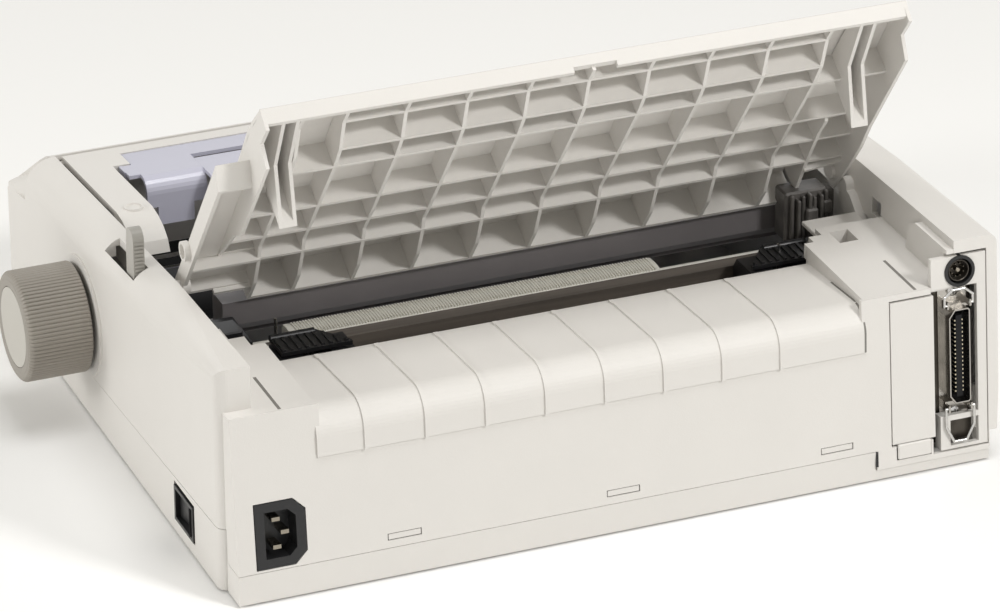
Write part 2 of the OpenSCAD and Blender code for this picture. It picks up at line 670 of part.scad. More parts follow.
belt_y = 58;
belt_z = [40, 46];
pulley_r = 8;
module pulley(x) difference() {
    translate([x, belt_y, belt_z[0] - 1.5]) union() {
        cylinder(h = belt_z[1] - belt_z[0] + 3, r = pulley_r);
        cylinder(h = 1.2, r = pulley_r + 1.6);
    }
    translate([x, belt_y, 0]) cylinder(h = 80, r = 2.06);
}
module drive_pulley() place() color(brass) pulley(150);
module idler_pulley() place() color(brass) pulley(-148);
module carriage_belt() place() color(rubber) difference() {
    hull() for (x = [-148, 150]) translate([x, belt_y, belt_z[0]])
        cylinder(h = belt_z[1] - belt_z[0], r = pulley_r + 1.3);
    hull() for (x = [-148, 150]) translate([x, belt_y, belt_z[0] - 1])
        cylinder(h = belt_z[1] - belt_z[0] + 2, r = pulley_r + 0.2);
}
module carriage_motor() place() color(dark) {
    translate([150, belt_y, 6.5]) cylinder(h = 29, r = 19);
    translate([150, belt_y, 35]) cylinder(h = 16, r = 2);
    translate([-148, belt_y, 6.5]) cylinder(h = 29, r = 6);
    translate([-148, belt_y, 35]) cylinder(h = 16, r = 2);
}

// ---------- electronics ----------
module main_board() place() color(green) {
    box([-165, 20], [285, 330], [8, 9.6]);
    for (x = [-150, 5], y = [290, 324]) translate([x, y, 3.6]) cylinder(h = 4.5, r = 3);
    color(black) for (i = [0:3]) box([-140 + i * 36, -118 + i * 36], [296, 316], [9.5, 12.5]);
}
module power_transformer() place() color([0.45, 0.40, 0.30]) {
    box([60, 118], [283, 330], [3.7, 46]);
    box([68, 110], [280, 333], [12, 38]);
}

// mains inlet, standing upright in the rear face
inlet = [173.8, 34.6];
module power_inlet() place() color(black) on_rear(inlet[0], inlet[1]) difference() {
    union() {
        linear_extrude_y(-12.6, -1.5) inlet_outline(19.6, 27);
        linear_extrude_y(-1.6, 0.1) inlet_outline(25, 33);
    }
    linear_extrude_y(-11.2, 3) inlet_outline(15.6, 23.6);
}
// a profile in the rear face's own XZ plane, carried along its normal
module linear_extrude_y(y0, y1) {
    translate([0, y1, 0]) rotate([90, 0, 0]) linear_extrude(y1 - y0) children();
}
// rounded rectangle with two corners cut, as the inlet standard asks
module inlet_outline(w, h) {
    c = w * 0.24;
    polygon([[-w / 2 + c, -h / 2], [w / 2, -h / 2], [w / 2, h / 2], [-w / 2 + c, h / 2],
        [-w / 2, h / 2 - c], [-w / 2, -h / 2 + c]]);
}
module inlet_pins() place() color(brass) on_rear(inlet[0], inlet[1])
    for (p = [[1.6, 7], [-2.6, 0], [1.6, -7]])
        box([p[0] - 2, p[0] + 2], [-11.1, -1.5], [p[1] - 1, p[1] + 1]);

switch_mid = [half_w, 277.5, 17.6];
module switch_housing() place() color(black) translate(switch_mid) difference() {
    box([-16, 0.6], [-13.6, 13.6], [-9.4, 9.4]);
    box([-12, 1], [-11.6, 11.6], [-7.6, 7.6]);
    translate([-4.6, 0, -9]) cylinder(h = 18, r = 1.55);
}
module switch_rocker() place() color(black) translate(switch_mid) union() {
    // two slopes that meet over the pivot
    translate([0, 0, -7.2]) linear_extrude(14.4)
        polygon([[-8, -10.6], [-1.6, -10.8], [-2.6, 0], [1.4, 10.4], [-6, 10.9], [-9, 0]]);
    translate([-4.6, 0, -8.8]) cylinder(h = 17.6, r = 1.5);
}

module option_cover() place() color(ivory) on_rear(-153, 55) {
    box([-11.5, 11.5], [-1.8, 0.3], [-36.6, 36.8]);
    box([-9, 8.5], [-4.2, -0.6], [-39.4, -36.5]);
    box([-3, 3], [-4, -1.7], [20, 23]);
}

// ---------- interface ----------
port = [-177.8, 58.5];
module interface_panel() place() color(ivory) on_rear(port[0], port[1]) difference() {
    union() {
        // plate of the round socket, column beside the connector and the frame below it
        box([-15.2, 14], [-3.4, -0.5], [35.5, 51.4]);
        box([-15.2, -10.4], [-3.4, -0.5], [-48.5, 36]);
        box([-11, 10], [-3.4, -0.5], [-33.6, -30.9]);
        box([4.8, 10], [-6.7, -0.5], [-48.5, -31]);
        box([-11, 10], [-3.4, -0.5], [-48.5, -46.8]);
    }
    translate([-1.3, 1, 43.4]) rotate([90, 0, 0]) cylinder(h = 9, r = 8.06);
}
module connector_bracket() place() color([0.34, 0.35, 0.36]) on_rear(port[0], port[1]) difference() {
    box([-10.2, 14.2], [-9.4, -8.2], [-47, 35]);
    box([-7.2, 7.2], [-10, -6], [-26, 26]);
}
// D-shaped outline of the connector's rim, its wall moved in by d
module rim_outline(d) polygon(inset([[-5.6, -23.4], [-4.6, -24.4], [2.6, -24.4], [5.6, -20.4],
    [5.6, 20.4], [2.6, 24.4], [-4.6, 24.4], [-5.6, 23.4]], d));
module connector_shell() place() color(steel) on_rear(port[0], port[1]) {
    difference() {
        union() {
            box([-7.6, 7.6], [-8.1, -7], [-34.6, 34.6]);
            linear_extrude_y(-7.1, 1.6) rim_outline(0);
        }
        linear_extrude_y(-9, 2) rim_outline(0.6);
        for (z = [-31.6, 31.6]) translate([0, 0, z]) rotate([90, 0, 0]) translate([0, 0, -9])
            cylinder(h = 20, r = 1.6);
    }
    // ears that hold the wire bails
    for (z = [-bail_z, bail_z], x = [-6.5, 5.5]) difference() {
        box([x, x + 1], [-7.1, 1.6], [z - 1.7, z + 1.7]);
        translate([x - 1, bail_y, z]) rotate([0, 90, 0]) cylinder(h = 3, r = 0.8, $fn = 24);
    }
    for (z = [-25, 25]) box([-6.5, 6.5], [-7.1, -2.4], [z - 0.7, z + 0.7]);
}
module connector_insert() place() color(black) on_rear(port[0], port[1]) {
    difference() {
        linear_extrude_y(-11, -4) rim_outline(0.7);
        for (z = [-20.5, 20.5]) box([-4, 4], [-5.5, -3], [z - 0.6, z + 0.6]);
    }
    box([-1.6, 1.6], [-4.1, 0.6], [-21, 21]);
    color(brass) for (i = [0:contacts - 1], s = [-1, 1]) let (z = (i - (contacts - 1) / 2) * contact_pitch)
        box([s * 1.9 - 0.32, s * 1.9 + 0.32], [-4.2, 0.2], [z - 0.45, z + 0.45]);
}
// a wire bail hung from its two ears, arms along local z from 0 to len
bail_z = 26.9;
bail_y = 0.7;
module bail(len) {
    wide = 7.5;
    for (s = [-1, 1]) translate([s * 6.5 - 1.2, 0, 0]) rotate([0, 90, 0])
        cylinder(h = 2.4, r = 0.7, $fn = 24);
    path = [[-wide, 0], [-wide, len * 0.55], [-3.4, len], [3.4, len], [wide, len * 0.55], [wide, 0]];
    for (i = [0:4]) bail_leg(path[i], path[i + 1]);
}
module bail_leg(a, b) {
    d = b - a;
    translate([a[0], 0, a[1]]) rotate([0, atan2(d[0], d[1]), 0]) cylinder(h = norm(d), r = 0.7, $fn = 24);
    for (p = [a, b]) translate([p[0], 0, p[1]]) sphere(r = 0.78, $fn = 24);
}
module upper_bail() place() color(steel) on_rear(port[0], port[1]) translate([0, bail_y, bail_z]) bail(7.6);
module lower_bail() place() color(steel) on_rear(port[0], port[1]) translate([0, bail_y, -bail_z])
    rotate([180, 0, 0]) bail(17.5);

module round_socket() place() color(black) on_rear(port[0], port[1]) translate([-1.3, 0, 43.4])
    rotate([90, 0, 0]) difference() {
    translate([0, 0, -0.2]) cylinder(h = 9, r = 8);
    translate([0, 0, -1]) cylinder(h = 7, r = 6.4);
}

// ---------- paper separator ----------
sep_base = [205, 87];
sep_l = 158.5;
sep_r = -171;
pivot_y = 210.6;
pivot_z = 104;
pivot_travel = 38;
pivot_r = 2.4;
wing_l = 175.4;
// free edge of the ribs, along the panel and away from it
sep_free = [[0, 0], [16.4, -1.5], [33.7, 1.4], [41.6, 3.7], [51.9, 2.5], [75.6, 0.5], [114, -2.9],
    [129, -3], [146, 1.1], [sep_len - 1, 0]];
// cross ribs: place up the panel and the two ends of each
sep_cross = [[33.7, sep_r + 1, sep_l - 1], [51.9, sep_r + 1, sep_l - 1], [75.6, sep_r + 1, sep_l - 1],
    [114, -146, 141.4], [114, sep_r + 1, -153], [129, -131, 116.5], [146, -131, 116.5]];
function skin_out(s) = 19 - 0.09 * s + 0.00035 * s * s - 5.5 * pow(max(0, s - 125) / 32, 2);
function skin_in(s) = skin_out(s) - sep_t - 0.3;
// edge of the cut-back right end, from the short rib to the cheek
cut_back = [26, 30];
function edge_z(s) = lookup(s, sep_free);

// the pivot seen from the panel's own frame
pivot_s = let (d = [pivot_y - sep_base[0], pivot_z - sep_base[1]])
    [d[0] * cos(sep_lean) + d[1] * sin(sep_lean), -d[0] * sin(sep_lean) + d[1] * cos(sep_lean)];

// the panel's own frame: x along the platen, y up the panel, z out of its smooth face
module on_panel_frame() {
    translate([0, sep_base[0], sep_base[1]]) rotate([sep_lean, 0, 0]) children();
}
function skin_curve(s0, s1, n) = [for (i = [0:n]) let (s = s0 + (s1 - s0) * i / n) [s, skin_out(s)]];
function skin_under(s0, s1, n) = [for (i = [0:n]) let (s = s1 - (s1 - s0) * i / n) [s, skin_in(s)]];

module main_rib(x, s0) along_x(x - sep_t / 2, x + sep_t / 2)
    polygon(concat([for (p = sep_free) if (p[0] > s0 || s0 == 0) p], skin_under(s0, sep_len - 1, 8)));

module cross_rib(s, x0, x1) along_x(x0, x1)
    polygon([[s - sep_t / 2, edge_z(s)], [s + sep_t / 2, edge_z(s)],
        [s + sep_t / 2, skin_in(s) + 0.6], [s - sep_t / 2, skin_in(s) + 0.6]]);

// a pair of deep fins joined by a web at their tips
module fin_pair(x0, x1) {
    for (x = [x0, x1]) along_x(x - 0.9, x + 0.9)
        polygon([[107, skin_in(107) + 0.5], [104, -25], [126, -3.6], [sep_len - 1, 0],
            [sep_len - 1, skin_in(150)]]);
    along_x(min(x0, x1), max(x0, x1))
        polygon([[107, skin_in(107) + 0.5], [104, -25], [106, -23], [109, skin_in(107) + 0.5]]);
}

module separator_skin() difference() {
    union() {
        along_x(sep_r, sep_l) polygon(concat(skin_curve(0, sep_len, 12), skin_under(0, sep_len, 12)));
        // lip at the bottom and fascia at the free end
        along_x(sep_r, sep_l) polygon([[0, 0], [sep_t, 0], [sep_t, skin_in(0) + 0.5],
            [0, skin_out(0) - 0.1]]);
        along_x(sep_r, sep_l) polygon([[sep_len - 2.2, 0], [sep_len, 0],
            [sep_len + 2.4, skin_out(sep_len) - 0.8],
            [sep_len + 1.6, skin_out(sep_len)], [sep_len - 3, skin_out(sep_len)]]);
    }
    // finger notch and the cut-back corners of the lip
    box([-18.6, 3.4], [sep_len - 4, sep_len + 4], [-1, 2.4]);
    box([139.4, sep_l + 1], [-1, 10], [-1, 30]);
    translate([0, 0, -1]) linear_extrude(40)
        polygon([[sep_r - 1, -1], [-150.9, -1], [-150.9, cut_back[0]], [sep_r + 1.8, cut_back[1]],
            [sep_r + 1.8, 9],
            [sep_r - 1, 9]]);
}

module separator() place() color(ivory) difference() {
    on_panel_frame() separator_body();
    bar_x(sep_r - 1, sep_r + 5, pivot_y, pivot_z, pivot_r + 0.05);
    bar_x(wing_l - 5, wing_l + 1, pivot_y, pivot_z, pivot_r + 0.05);
}
module separator_body() {
    separator_skin();
    // bosses round the two pivot pins
    for (x = [sep_r, wing_l - 4]) bar_x(x, x + 4, pivot_s[0], pivot_s[1], 5);
    for (i = [0:sep_ribs - 1]) main_rib(116.5 - sep_pitch * i, 0);
    main_rib(139, 0);
    for (c = sep_cross) cross_rib(c[0], c[1], c[2]);
    // lower wall where the lip is cut back
    along_x(139, sep_l) polygon([[10, 0], [11.8, 0], [11.8, skin_in(11)+0.5], [10, skin_in(11)+0.5]]);
    intersection() {
        linear_extrude(40) polygon([[-150, cut_back[0]], [sep_r + 1, cut_back[1]],
            [sep_r + 1, cut_back[1] + 1.8],
            [-150, cut_back[0] + 1.8]]);
        along_x(sep_r, -149) polygon(concat([[20, 0], [36, 0]], skin_under(20, 36, 4)));
    }
    // short rib near the right end
    along_x(-150.9, -149.1) polygon([[9, 0], [33.7, 1.4], [60, 1.4], [72, 0], [76, 4],
        [76, skin_in(76) + 0.5], [9, skin_in(9) + 0.5]]);
    fin_pair(148.5, 141.4);
    fin_pair(-146, -153);
    // right cheek
    along_x(sep_r, sep_r + 1.8) polygon(concat(
        [[9, -2], [34, -6.2], [56, -8.4], [73.4, -8.2], [137.3, -12.4], [143.7, -1.8], [sep_len, -3.2]],
        [[sep_len + 2, skin_out(sep_len) - 1]], skin_under(9, sep_len - 2, 8)));
    // left cheek
    along_x(sep_l - 1.8, sep_l) polygon(concat(
        [[22, 10], [66, -2], [75, -8.1], [139.5, -13], [143.7, -1.6], [sep_len, -3.3]],
        [[sep_len + 2, skin_out(sep_len) - 1]], skin_under(22, sep_len - 2, 8)));
    left_wing();
}

// box-shaped wing outside the left cheek: an open tray with a slanted end wall
wing_s = [4, 114, 123];
function wing_edge(s) = 2 - (s - 10) * 0.072;
module wing_profile(s0, s1, depth0, depth1) polygon([[s0, wing_edge(s0) + depth0],
    [s1, wing_edge(s1) + depth0],
    [s1 + depth1 - depth0, wing_edge(s1) + depth1], [s0, wing_edge(s0) + depth1]]);
module left_wing() {
    along_x(wing_l - 2, wing_l) wing_profile(wing_s[0], wing_s[1], 0, 9);
    along_x(sep_l - 1.8, wing_l) wing_profile(wing_s[0], wing_s[1] + 6.6, 7, 9);
    along_x(sep_l - 1.8, wing_l) polygon([[wing_s[1] - 1.8, wing_edge(wing_s[1])],
        [wing_s[1], wing_edge(wing_s[1])],
        [wing_s[2], wing_edge(wing_s[1]) + 9], [wing_s[2] - 1.8, wing_edge(wing_s[1]) + 9]]);
    for (s = [12, 33.7]) along_x(139, wing_l - 1) polygon([[s - 0.9, wing_edge(s) + 0.4],
        [s + 0.9, wing_edge(s) + 0.4],
        [s + 0.9, wing_edge(s) + 8.5], [s - 0.9, wing_edge(s) + 8.5]]);
    // bridge from the wing's floor to the panel's skin
    along_x(139, sep_l) polygon([[10, wing_edge(10) + 7.2], [36, wing_edge(36) + 7.2],
        [36, skin_in(36) + 0.5],
        [10, skin_in(10) + 0.5]]);
    translate([wing_l - 0.1, 45, wing_edge(45) + 7]) rotate([0, 90, 0]) difference() {
        cylinder(h = 3, r = 5);
        translate([0, 0, 1]) cylinder(h = 3, r = 3.6);
    }
}

module separator_pivots() place() color(ivory) {
    bar_x(wing_l - 4, in_l + wall - 0.2, pivot_y, pivot_z, pivot_r);
    bar_x(in_r - wall + 0.2, sep_r + 4, pivot_y, pivot_z, pivot_r);
}

// sheet guides on the smooth face, each a plate with an upright fence
guide_s = [30, 120];
module sheet_guide(x, s) {
    along_x(min(x, x + s * 34), max(x, x + s * 34)) polygon(concat(
        [for (i = [0:6]) let (a = guide_s[0] + (guide_s[1] - guide_s[0]) * i / 6) [a, skin_out(a) + 0.4]],
        [for (i = [6:-1:0]) let (a = guide_s[0] + (guide_s[1] - guide_s[0]) * i / 6) [a,
            skin_out(a) + 2.2]]));
    along_x(min(x, x + s * 2), max(x, x + s * 2)) polygon([[guide_s[0], skin_out(guide_s[0]) + 0.4],
        [guide_s[1], skin_out(guide_s[1]) + 0.4], [guide_s[1] - 6, skin_out(guide_s[1]) + 11],
            [guide_s[0] + 8, skin_out(guide_s[0]) + 11]]);
}
module left_sheet_guide() place() color(ivory) on_panel_frame() sheet_guide(128, -1);
module right_sheet_guide() place() color(ivory) on_panel_frame() sheet_guide(-140, 1);

// ---------- access cover ----------
cover_l = 178.6;
cover_r = -169;
cover_y = [36.5, 108];
arm_w = 18.6;
hinge_y = 138;
hinge_z = 96;
function cover_top(y) = top_z(max(y, 36)) - 0.4;
// top line of an arm, which turns down at the back
arm_top = [[cover_y[1] - 2, cover_top(106)], [124, cover_top(124)], [133, 104.2], [141, 101.6], [147, 97.6],
    [150.4, 92]];
arm_under = [[147.6, 92], [144.6, 96.2], [139.8, 99.2], [132.4, 101.6], [124, cover_top(124) - 2.6],
    [cover_y[1] - 2, cover_top(106) - 2.6]];

module access_cover() place() color(ivory) {
    difference() {
        along_x(cover_r, cover_l) polygon([[cover_y[0], cover_top(cover_y[0]) - 3.4],
            [cover_y[0], cover_top(cover_y[0])],
            [cover_y[1], cover_top(cover_y[1])], [cover_y[1], cover_top(cover_y[1]) - 3.4]]);
        box([-140, 151], [46, 64], [80, 130]);
        box([cover_r + arm_w, cover_l - arm_w], [62, 200], [80, 130]);
    }
    for (x = [cover_r, cover_l - arm_w]) {
        difference() {
            union() {
                along_x(x, x + arm_w) polygon(concat(arm_top, arm_under));
                // side plates: the outer one carries the hinge
                for (e = [x, x + arm_w - 2.4]) along_x(e, e + 2.4)
                    polygon([[118, cover_top(118) - 1], [133, 103], [141, 100.6], [149, 92.4], [134, 90],
                        [126, 93]]);
            }
            bar_x(x < 0 ? x - 1 : x + arm_w - 3, x < 0 ? x + 3 : x + arm_w + 1, hinge_y, hinge_z, 3);
        }
    }
    // thumb rest on the knob side arm
    translate([169, 122, cover_top(122) - 0.9]) rotate([4, 0, 0]) difference() {
        cylinder(h = 1.8, r = 5);
        translate([0, 0, 1]) cylinder(h = 2, r = 4);
    }
}

// tinted window: a flat front strip, a deep hood that dips over the paper, and a hook at its end
function sheet_top(y) = cover_top(y) - 0.5;
module hood(x0, x1, y0, y1, r, z_low) {
    z = sheet_top(y1 - r) - r;
    along_x(x0, x1) polygon(concat([[y0, sheet_top(y0) - 2], [y0, sheet_top(y0)]],
        arc_points([y1 - r, z], r, 84, 0, 6),
        [[y1, z_low], [y1 - 2, z_low]], arc_points([y1 - r, z], r - 2, 0, 84, 6)));
}
// a flat strip of the sheet
module sheet(x0, x1, y0, y1) along_x(x0, x1)
    polygon([[y0, sheet_top(y0) - 2], [y1, sheet_top(y1) - 2], [y1, sheet_top(y1)], [y0, sheet_top(y0)]]);

module access_window() place() color(smoke) {
    sheet(-139.6, 150.6, 46.4, 62);
    hood(-139.6, 119, 68, 104, 12, 84);
    hood(118.8, 150.6, 61.5, 88, 8, 86);
    along_x(126, 145) polygon([[86, 76], [88, 76], [88, 87], [86, 87]]);
    sheet(-139.6, -134, 61, 70);
    // hook beside the hood
    sheet(150, 156.5, 63, 78);
    along_x(155, 157) polygon([[58, 84], [64, 82], [68, 88], [72, 98], [72, sheet_top(72)],
        [62.4, sheet_top(62.4)], [62.4, 95.6], [57, 92]]);
}

// ---------- lever ----------
lever_x = [189.2, 194.8];
lever_pivot = [178, 62];
lever_back = 199.4;
module gap_lever() place() color(taupe) difference() {
    union() {
        along_x(lever_x[0], lever_x[1]) polygon(concat([[172, 60], [184.6, 60], [lever_back, 100],
            [lever_back, 124.6]],
            arc_points([lever_back - 5.4, 125], 5.4, 0, 150, 10),
                [[lever_back - 10.8, 122], [lever_back - 11.4, 104]]));
        bar_x(lever_x[0] - 0.8, lever_x[1] + 0.4, lever_pivot[0], lever_pivot[1], 7);
        // grip ribs on the thumb face
        for (i = [0:8]) box([lever_x[0] + 0.7, lever_x[1] - 0.7], [lever_back - 0.1, lever_back + 0.5],
            [107.5 + 2 * i, 108.5 + 2 * i]);
    }
    bar_x(lever_x[0] - 2, lever_x[1] + 2, lever_pivot[0], lever_pivot[1], 3.05);
}

base_pan();
rubber_feet();
upper_case();
base_plate();
side_frame_left();
side_frame_right();
platen_bushings();
platen_shaft();
platen_roller();
platen_gear();
platen_knob();
knob_cap();
idler_gear_front();
idler_gear_rear();
tractor_shaft();
tractor_gear();
feed_motor();
feed_pinion();
tractor_rail();
left_tractor();
left_tractor_lid();
left_pin_wheel();
right_tractor();
right_tractor_lid();
right_pin_wheel();
ribbed_guide_bar();
support_bar();
paper_guide_strip();
carriage_shaft();
carriage();
print_head();
ribbon_cartridge();
carriage_belt();
drive_pulley();
idler_pulley();
carriage_motor();
main_board();
power_transformer();
power_inlet();
inlet_pins();
switch_housing();
switch_rocker();
option_cover();
interface_panel();
connector_bracket();
connector_shell();
connector_insert();
upper_bail();
lower_bail();
round_socket();
separator();
separator_pivots();
left_sheet_guide();
right_sheet_guide();
access_cover();
access_window();
gap_lever();
select_button();
feed_button();
load_button();
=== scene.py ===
"""Looks of a desktop dot matrix printer, built round its fixed CAD parts.

Places are drawing millimetres: x from the middle of the case towards the knob, y from the front face to the
back, z up from the ground. shared() brings them into the shared frame, in metres.
"""
import math
import bpy
import numpy as np
from mathutils import Matrix, Vector


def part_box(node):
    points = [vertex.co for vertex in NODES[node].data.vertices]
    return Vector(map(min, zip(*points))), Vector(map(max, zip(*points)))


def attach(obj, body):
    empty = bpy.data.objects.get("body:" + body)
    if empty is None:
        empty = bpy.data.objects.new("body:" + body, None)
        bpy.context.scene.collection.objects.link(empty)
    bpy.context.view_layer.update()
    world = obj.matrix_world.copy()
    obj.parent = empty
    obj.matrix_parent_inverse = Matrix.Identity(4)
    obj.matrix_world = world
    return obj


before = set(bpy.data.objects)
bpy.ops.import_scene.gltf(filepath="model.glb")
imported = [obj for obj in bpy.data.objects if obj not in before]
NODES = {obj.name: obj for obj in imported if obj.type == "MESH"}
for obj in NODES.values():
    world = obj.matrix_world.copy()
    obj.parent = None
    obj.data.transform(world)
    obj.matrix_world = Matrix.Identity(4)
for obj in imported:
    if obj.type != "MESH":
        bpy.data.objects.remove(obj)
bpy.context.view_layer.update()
scene = bpy.context.scene

MM = 0.001
CENTRE = np.array([18.0, 172.5, 0.0])      # drawing point that lies at the shared frame's origin


def shared(points):
    """Drawing millimetres as metres of the shared frame."""
    return (np.asarray(points, float) - CENTRE) * MM


def node_box(name):
    """Lowest and highest corners of a CAD part, in drawing millimetres."""
    lo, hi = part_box(name)
    return np.array(lo) / MM + CENTRE, np.array(hi) / MM + CENTRE


# ---------------------------------------------------------------- materials
MIX_FACTOR, MIX_A, MIX_B, MIX_RESULT = 0, 6, 7, 2      # colour sockets of a Mix node
SURFACE_IOR = 1.46
GRAIN_DEPTH = 0.0003
CLOUD_DETAIL, GRAIN_DETAIL = 5.0, 3.0
CLOUD_RANGE = (0.3, 0.7)      # most of what the cloud noise gives lies between these


def noise(tree, vector, scale, detail):
    """A fractal noise over the given coordinates."""
    texture = tree.nodes.new("ShaderNodeTexNoise")
    texture.inputs["Scale"].default_value = scale
    texture.inputs["Detail"].default_value = detail
    tree.links.new(vector, texture.inputs["Vector"])
    return texture.outputs["Fac"]


def material(name, colour, rough=0.5, metal=0.0, bump=0.0, bump_scale=900.0, mottle=0.0,
             mottle_scale=25.0, coat=0.0, alpha=1.0, spec=0.5, stretch=(1, 1, 1)):
    """A surface of one colour with a faint cloudy variation and a fine grain.

    The colour is multiplied by a cloud noise that runs from 1 - mottle to 1 + mottle, and a second noise
    raises the grain by bump times GRAIN_DEPTH. Both read object coordinates times stretch, so a small
    stretch along an axis draws them out along it."""
    finish = bpy.data.materials.new(name)
    finish.use_nodes = True
    tree = finish.node_tree
    surface = tree.nodes["Principled BSDF"]
    surface.inputs["Base Color"].default_value = (*colour, 1.0)
    surface.inputs["Roughness"].default_value = rough
    surface.inputs["Metallic"].default_value = metal
    surface.inputs["IOR"].default_value = SURFACE_IOR
    surface.inputs["Specular IOR Level"].default_value = spec
    surface.inputs["Coat Weight"].default_value = coat
    surface.inputs["Alpha"].default_value = alpha
    coordinates = tree.nodes.new("ShaderNodeTexCoord")
    mapping = tree.nodes.new("ShaderNodeMapping")
    mapping.inputs["Scale"].default_value = stretch
    tree.links.new(coordinates.outputs["Object"], mapping.inputs["Vector"])
    if mottle > 0:
        spread = tree.nodes.new("ShaderNodeMapRange")
        spread.inputs["From Min"].default_value = CLOUD_RANGE[0]
        spread.inputs["From Max"].default_value = CLOUD_RANGE[1]
        spread.inputs["To Min"].default_value = 1.0 - mottle
        spread.inputs["To Max"].default_value = 1.0 + mottle
        tree.links.new(noise(tree, mapping.outputs[0], mottle_scale, CLOUD_DETAIL), spread.inputs["Value"])
        tint = tree.nodes.new("ShaderNodeMix")
        tint.data_type = "RGBA"
        tint.blend_type = "MULTIPLY"
        tint.inputs[MIX_FACTOR].default_value = 1.0
        tint.inputs[MIX_A].default_value = (*colour, 1.0)
        tree.links.new(spread.outputs["Result"], tint.inputs[MIX_B])
        tree.links.new(tint.outputs[MIX_RESULT], surface.inputs["Base Color"])
    if bump > 0:
        grain = tree.nodes.new("ShaderNodeBump")
        grain.inputs["Strength"].default_value = bump
        grain.inputs["Distance"].default_value = GRAIN_DEPTH
        tree.links.new(noise(tree, mapping.outputs[0], bump_scale, GRAIN_DETAIL), grain.inputs["Height"])
        tree.links.new(grain.outputs["Normal"], surface.inputs["Normal"])
    return finish


CASE_COLOUR = (0.735, 0.714, 0.685)
ALONG_X = (1, 30, 30)      # fine lines drawn along a bar that lies across the printer

FINISH = {
    # moulded plastics
    "case": material("case_plastic", CASE_COLOUR, 0.50, bump=0.20, bump_scale=1400, mottle=0.010),
    "case_top": material("case_plastic_smooth", CASE_COLOUR, 0.44, bump=0.14, bump_scale=1500, mottle=0.01),
    "taupe": material("grey_plastic", (0.300, 0.275, 0.240), 0.45, bump=0.15, mottle=0.02),
    "lever": material("lever_plastic", (0.420, 0.405, 0.375), 0.42, bump=0.12, mottle=0.02),
    "cap": material("pale_cap", (0.520, 0.500, 0.455), 0.42, bump=0.1, mottle=0.01),
    "cream": material("cream_plastic", (0.860, 0.845, 0.780), 0.45, bump=0.08, mottle=0.01),
    "smoke": material("smoke_plastic", (0.640, 0.640, 0.760), 0.12, coat=0.4, alpha=0.80),
    "black": material("black_plastic", (0.014, 0.014, 0.015), 0.34, bump=0.12, mottle=0.03),
    "dark": material("dark_plastic", (0.035, 0.034, 0.036), 0.40, bump=0.12, mottle=0.03),
    "insert": material("connector_plastic", (0.008, 0.008, 0.009), 0.62, spec=0.25, mottle=0.03),
    # painted shade for the dark strips in the ledge grooves and along the hump's far end
    "shade": material("groove_shadow", (0.200, 0.190, 0.175), 0.60),
    "strip": material("guide_strip_plastic", (0.170, 0.158, 0.162), 0.42, bump=0.14,
                      mottle=0.06, mottle_scale=40),
    # dark plastic whose tone runs a quarter lighter and darker in broad blotches
    "mass": material("blotchy_dark_plastic", (0.125, 0.117, 0.110), 0.36, bump=0.3, bump_scale=400,
                     mottle=0.25, mottle_scale=130),
    "bar": material("support_bar_plastic", (0.120, 0.102, 0.086), 0.48, bump=0.25, bump_scale=700,
                    mottle=0.35, mottle_scale=60, stretch=(0.12, 3, 3)),
    "rubber": material("rubber", (0.020, 0.020, 0.021), 0.75, bump=0.2, mottle=0.04),
    # metals
    "zinc": material("zinc_steel", (0.46, 0.46, 0.46), 0.30, metal=1.0, bump=0.08, bump_scale=500,
                     mottle=0.06),
    "rim": material("bright_rim", (0.42, 0.40, 0.37), 0.20, metal=1.0, mottle=0.12, mottle_scale=90),
    "plate": material("bracket_steel", (0.090, 0.080, 0.068), 0.30, metal=0.85, bump=0.1, bump_scale=500,
                      mottle=0.06),
    "dark_steel": material("dark_steel", (0.075, 0.070, 0.065), 0.40, metal=0.6, bump=0.1, mottle=0.05,
                           stretch=ALONG_X),
    "bright": material("ground_steel", (0.56, 0.55, 0.53), 0.20, metal=1.0, bump=0.05, stretch=ALONG_X),
    "pins": material("inlet_pin_metal", (0.30, 0.27, 0.22), 0.25, metal=1.0, mottle=0.04),
    "contact": material("contact_metal", (0.78, 0.70, 0.52), 0.30, metal=1.0, mottle=0.03),
    "brass": material("brass", (0.62, 0.43, 0.16), 0.28, metal=1.0, bump=0.05, mottle=0.03),
    # electrical parts
    "board": material("board", (0.020, 0.11, 0.05), 0.35, bump=0.1, mottle=0.08, mottle_scale=120),
    "core": material("transformer_core", (0.16, 0.13, 0.09), 0.5, metal=0.3, bump=0.2, stretch=(1, 40, 1)),
}

PARTS_BY_FINISH = {
    "case": ["base_pan", "upper_case", "separator", "option_cover", "interface_panel", "separator_pivots",
             "left_sheet_guide", "right_sheet_guide"],
    "case_top": ["access_cover"],
    "taupe": ["platen_knob", "select_button", "feed_button", "load_button"],
    "lever": ["gap_lever"],
    "cap": ["knob_cap"],
    "cream": ["platen_gear", "idler_gear_front", "idler_gear_rear", "tractor_gear", "ribbed_guide_bar"],
    "smoke": ["access_window"],
    "black": ["left_tractor", "left_tractor_lid", "right_tractor", "right_tractor_lid", "carriage",
              "power_inlet", "switch_housing", "switch_rocker", "round_socket"],
    "dark": ["left_pin_wheel", "right_pin_wheel", "ribbon_cartridge"],
    "insert": ["connector_insert"],
    "strip": ["paper_guide_strip"],
    "bar": ["support_bar"],
    "rubber": ["rubber_feet", "platen_roller", "carriage_belt"],
    "zinc": ["base_plate", "side_frame_left", "side_frame_right"],
    "rim": ["connector_shell"],
    "plate": ["connector_bracket"],
    "dark_steel": ["feed_motor", "tractor_rail", "print_head", "carriage_motor"],
    "bright": ["platen_shaft", "tractor_shaft", "carriage_shaft", "upper_bail", "lower_bail"],
    "pins": ["inlet_pins"],
    "brass": ["platen_bushings", "feed_pinion", "drive_pulley", "idler_pulley"],
    "board": ["main_board"],
    "core": ["power_transformer"],
}
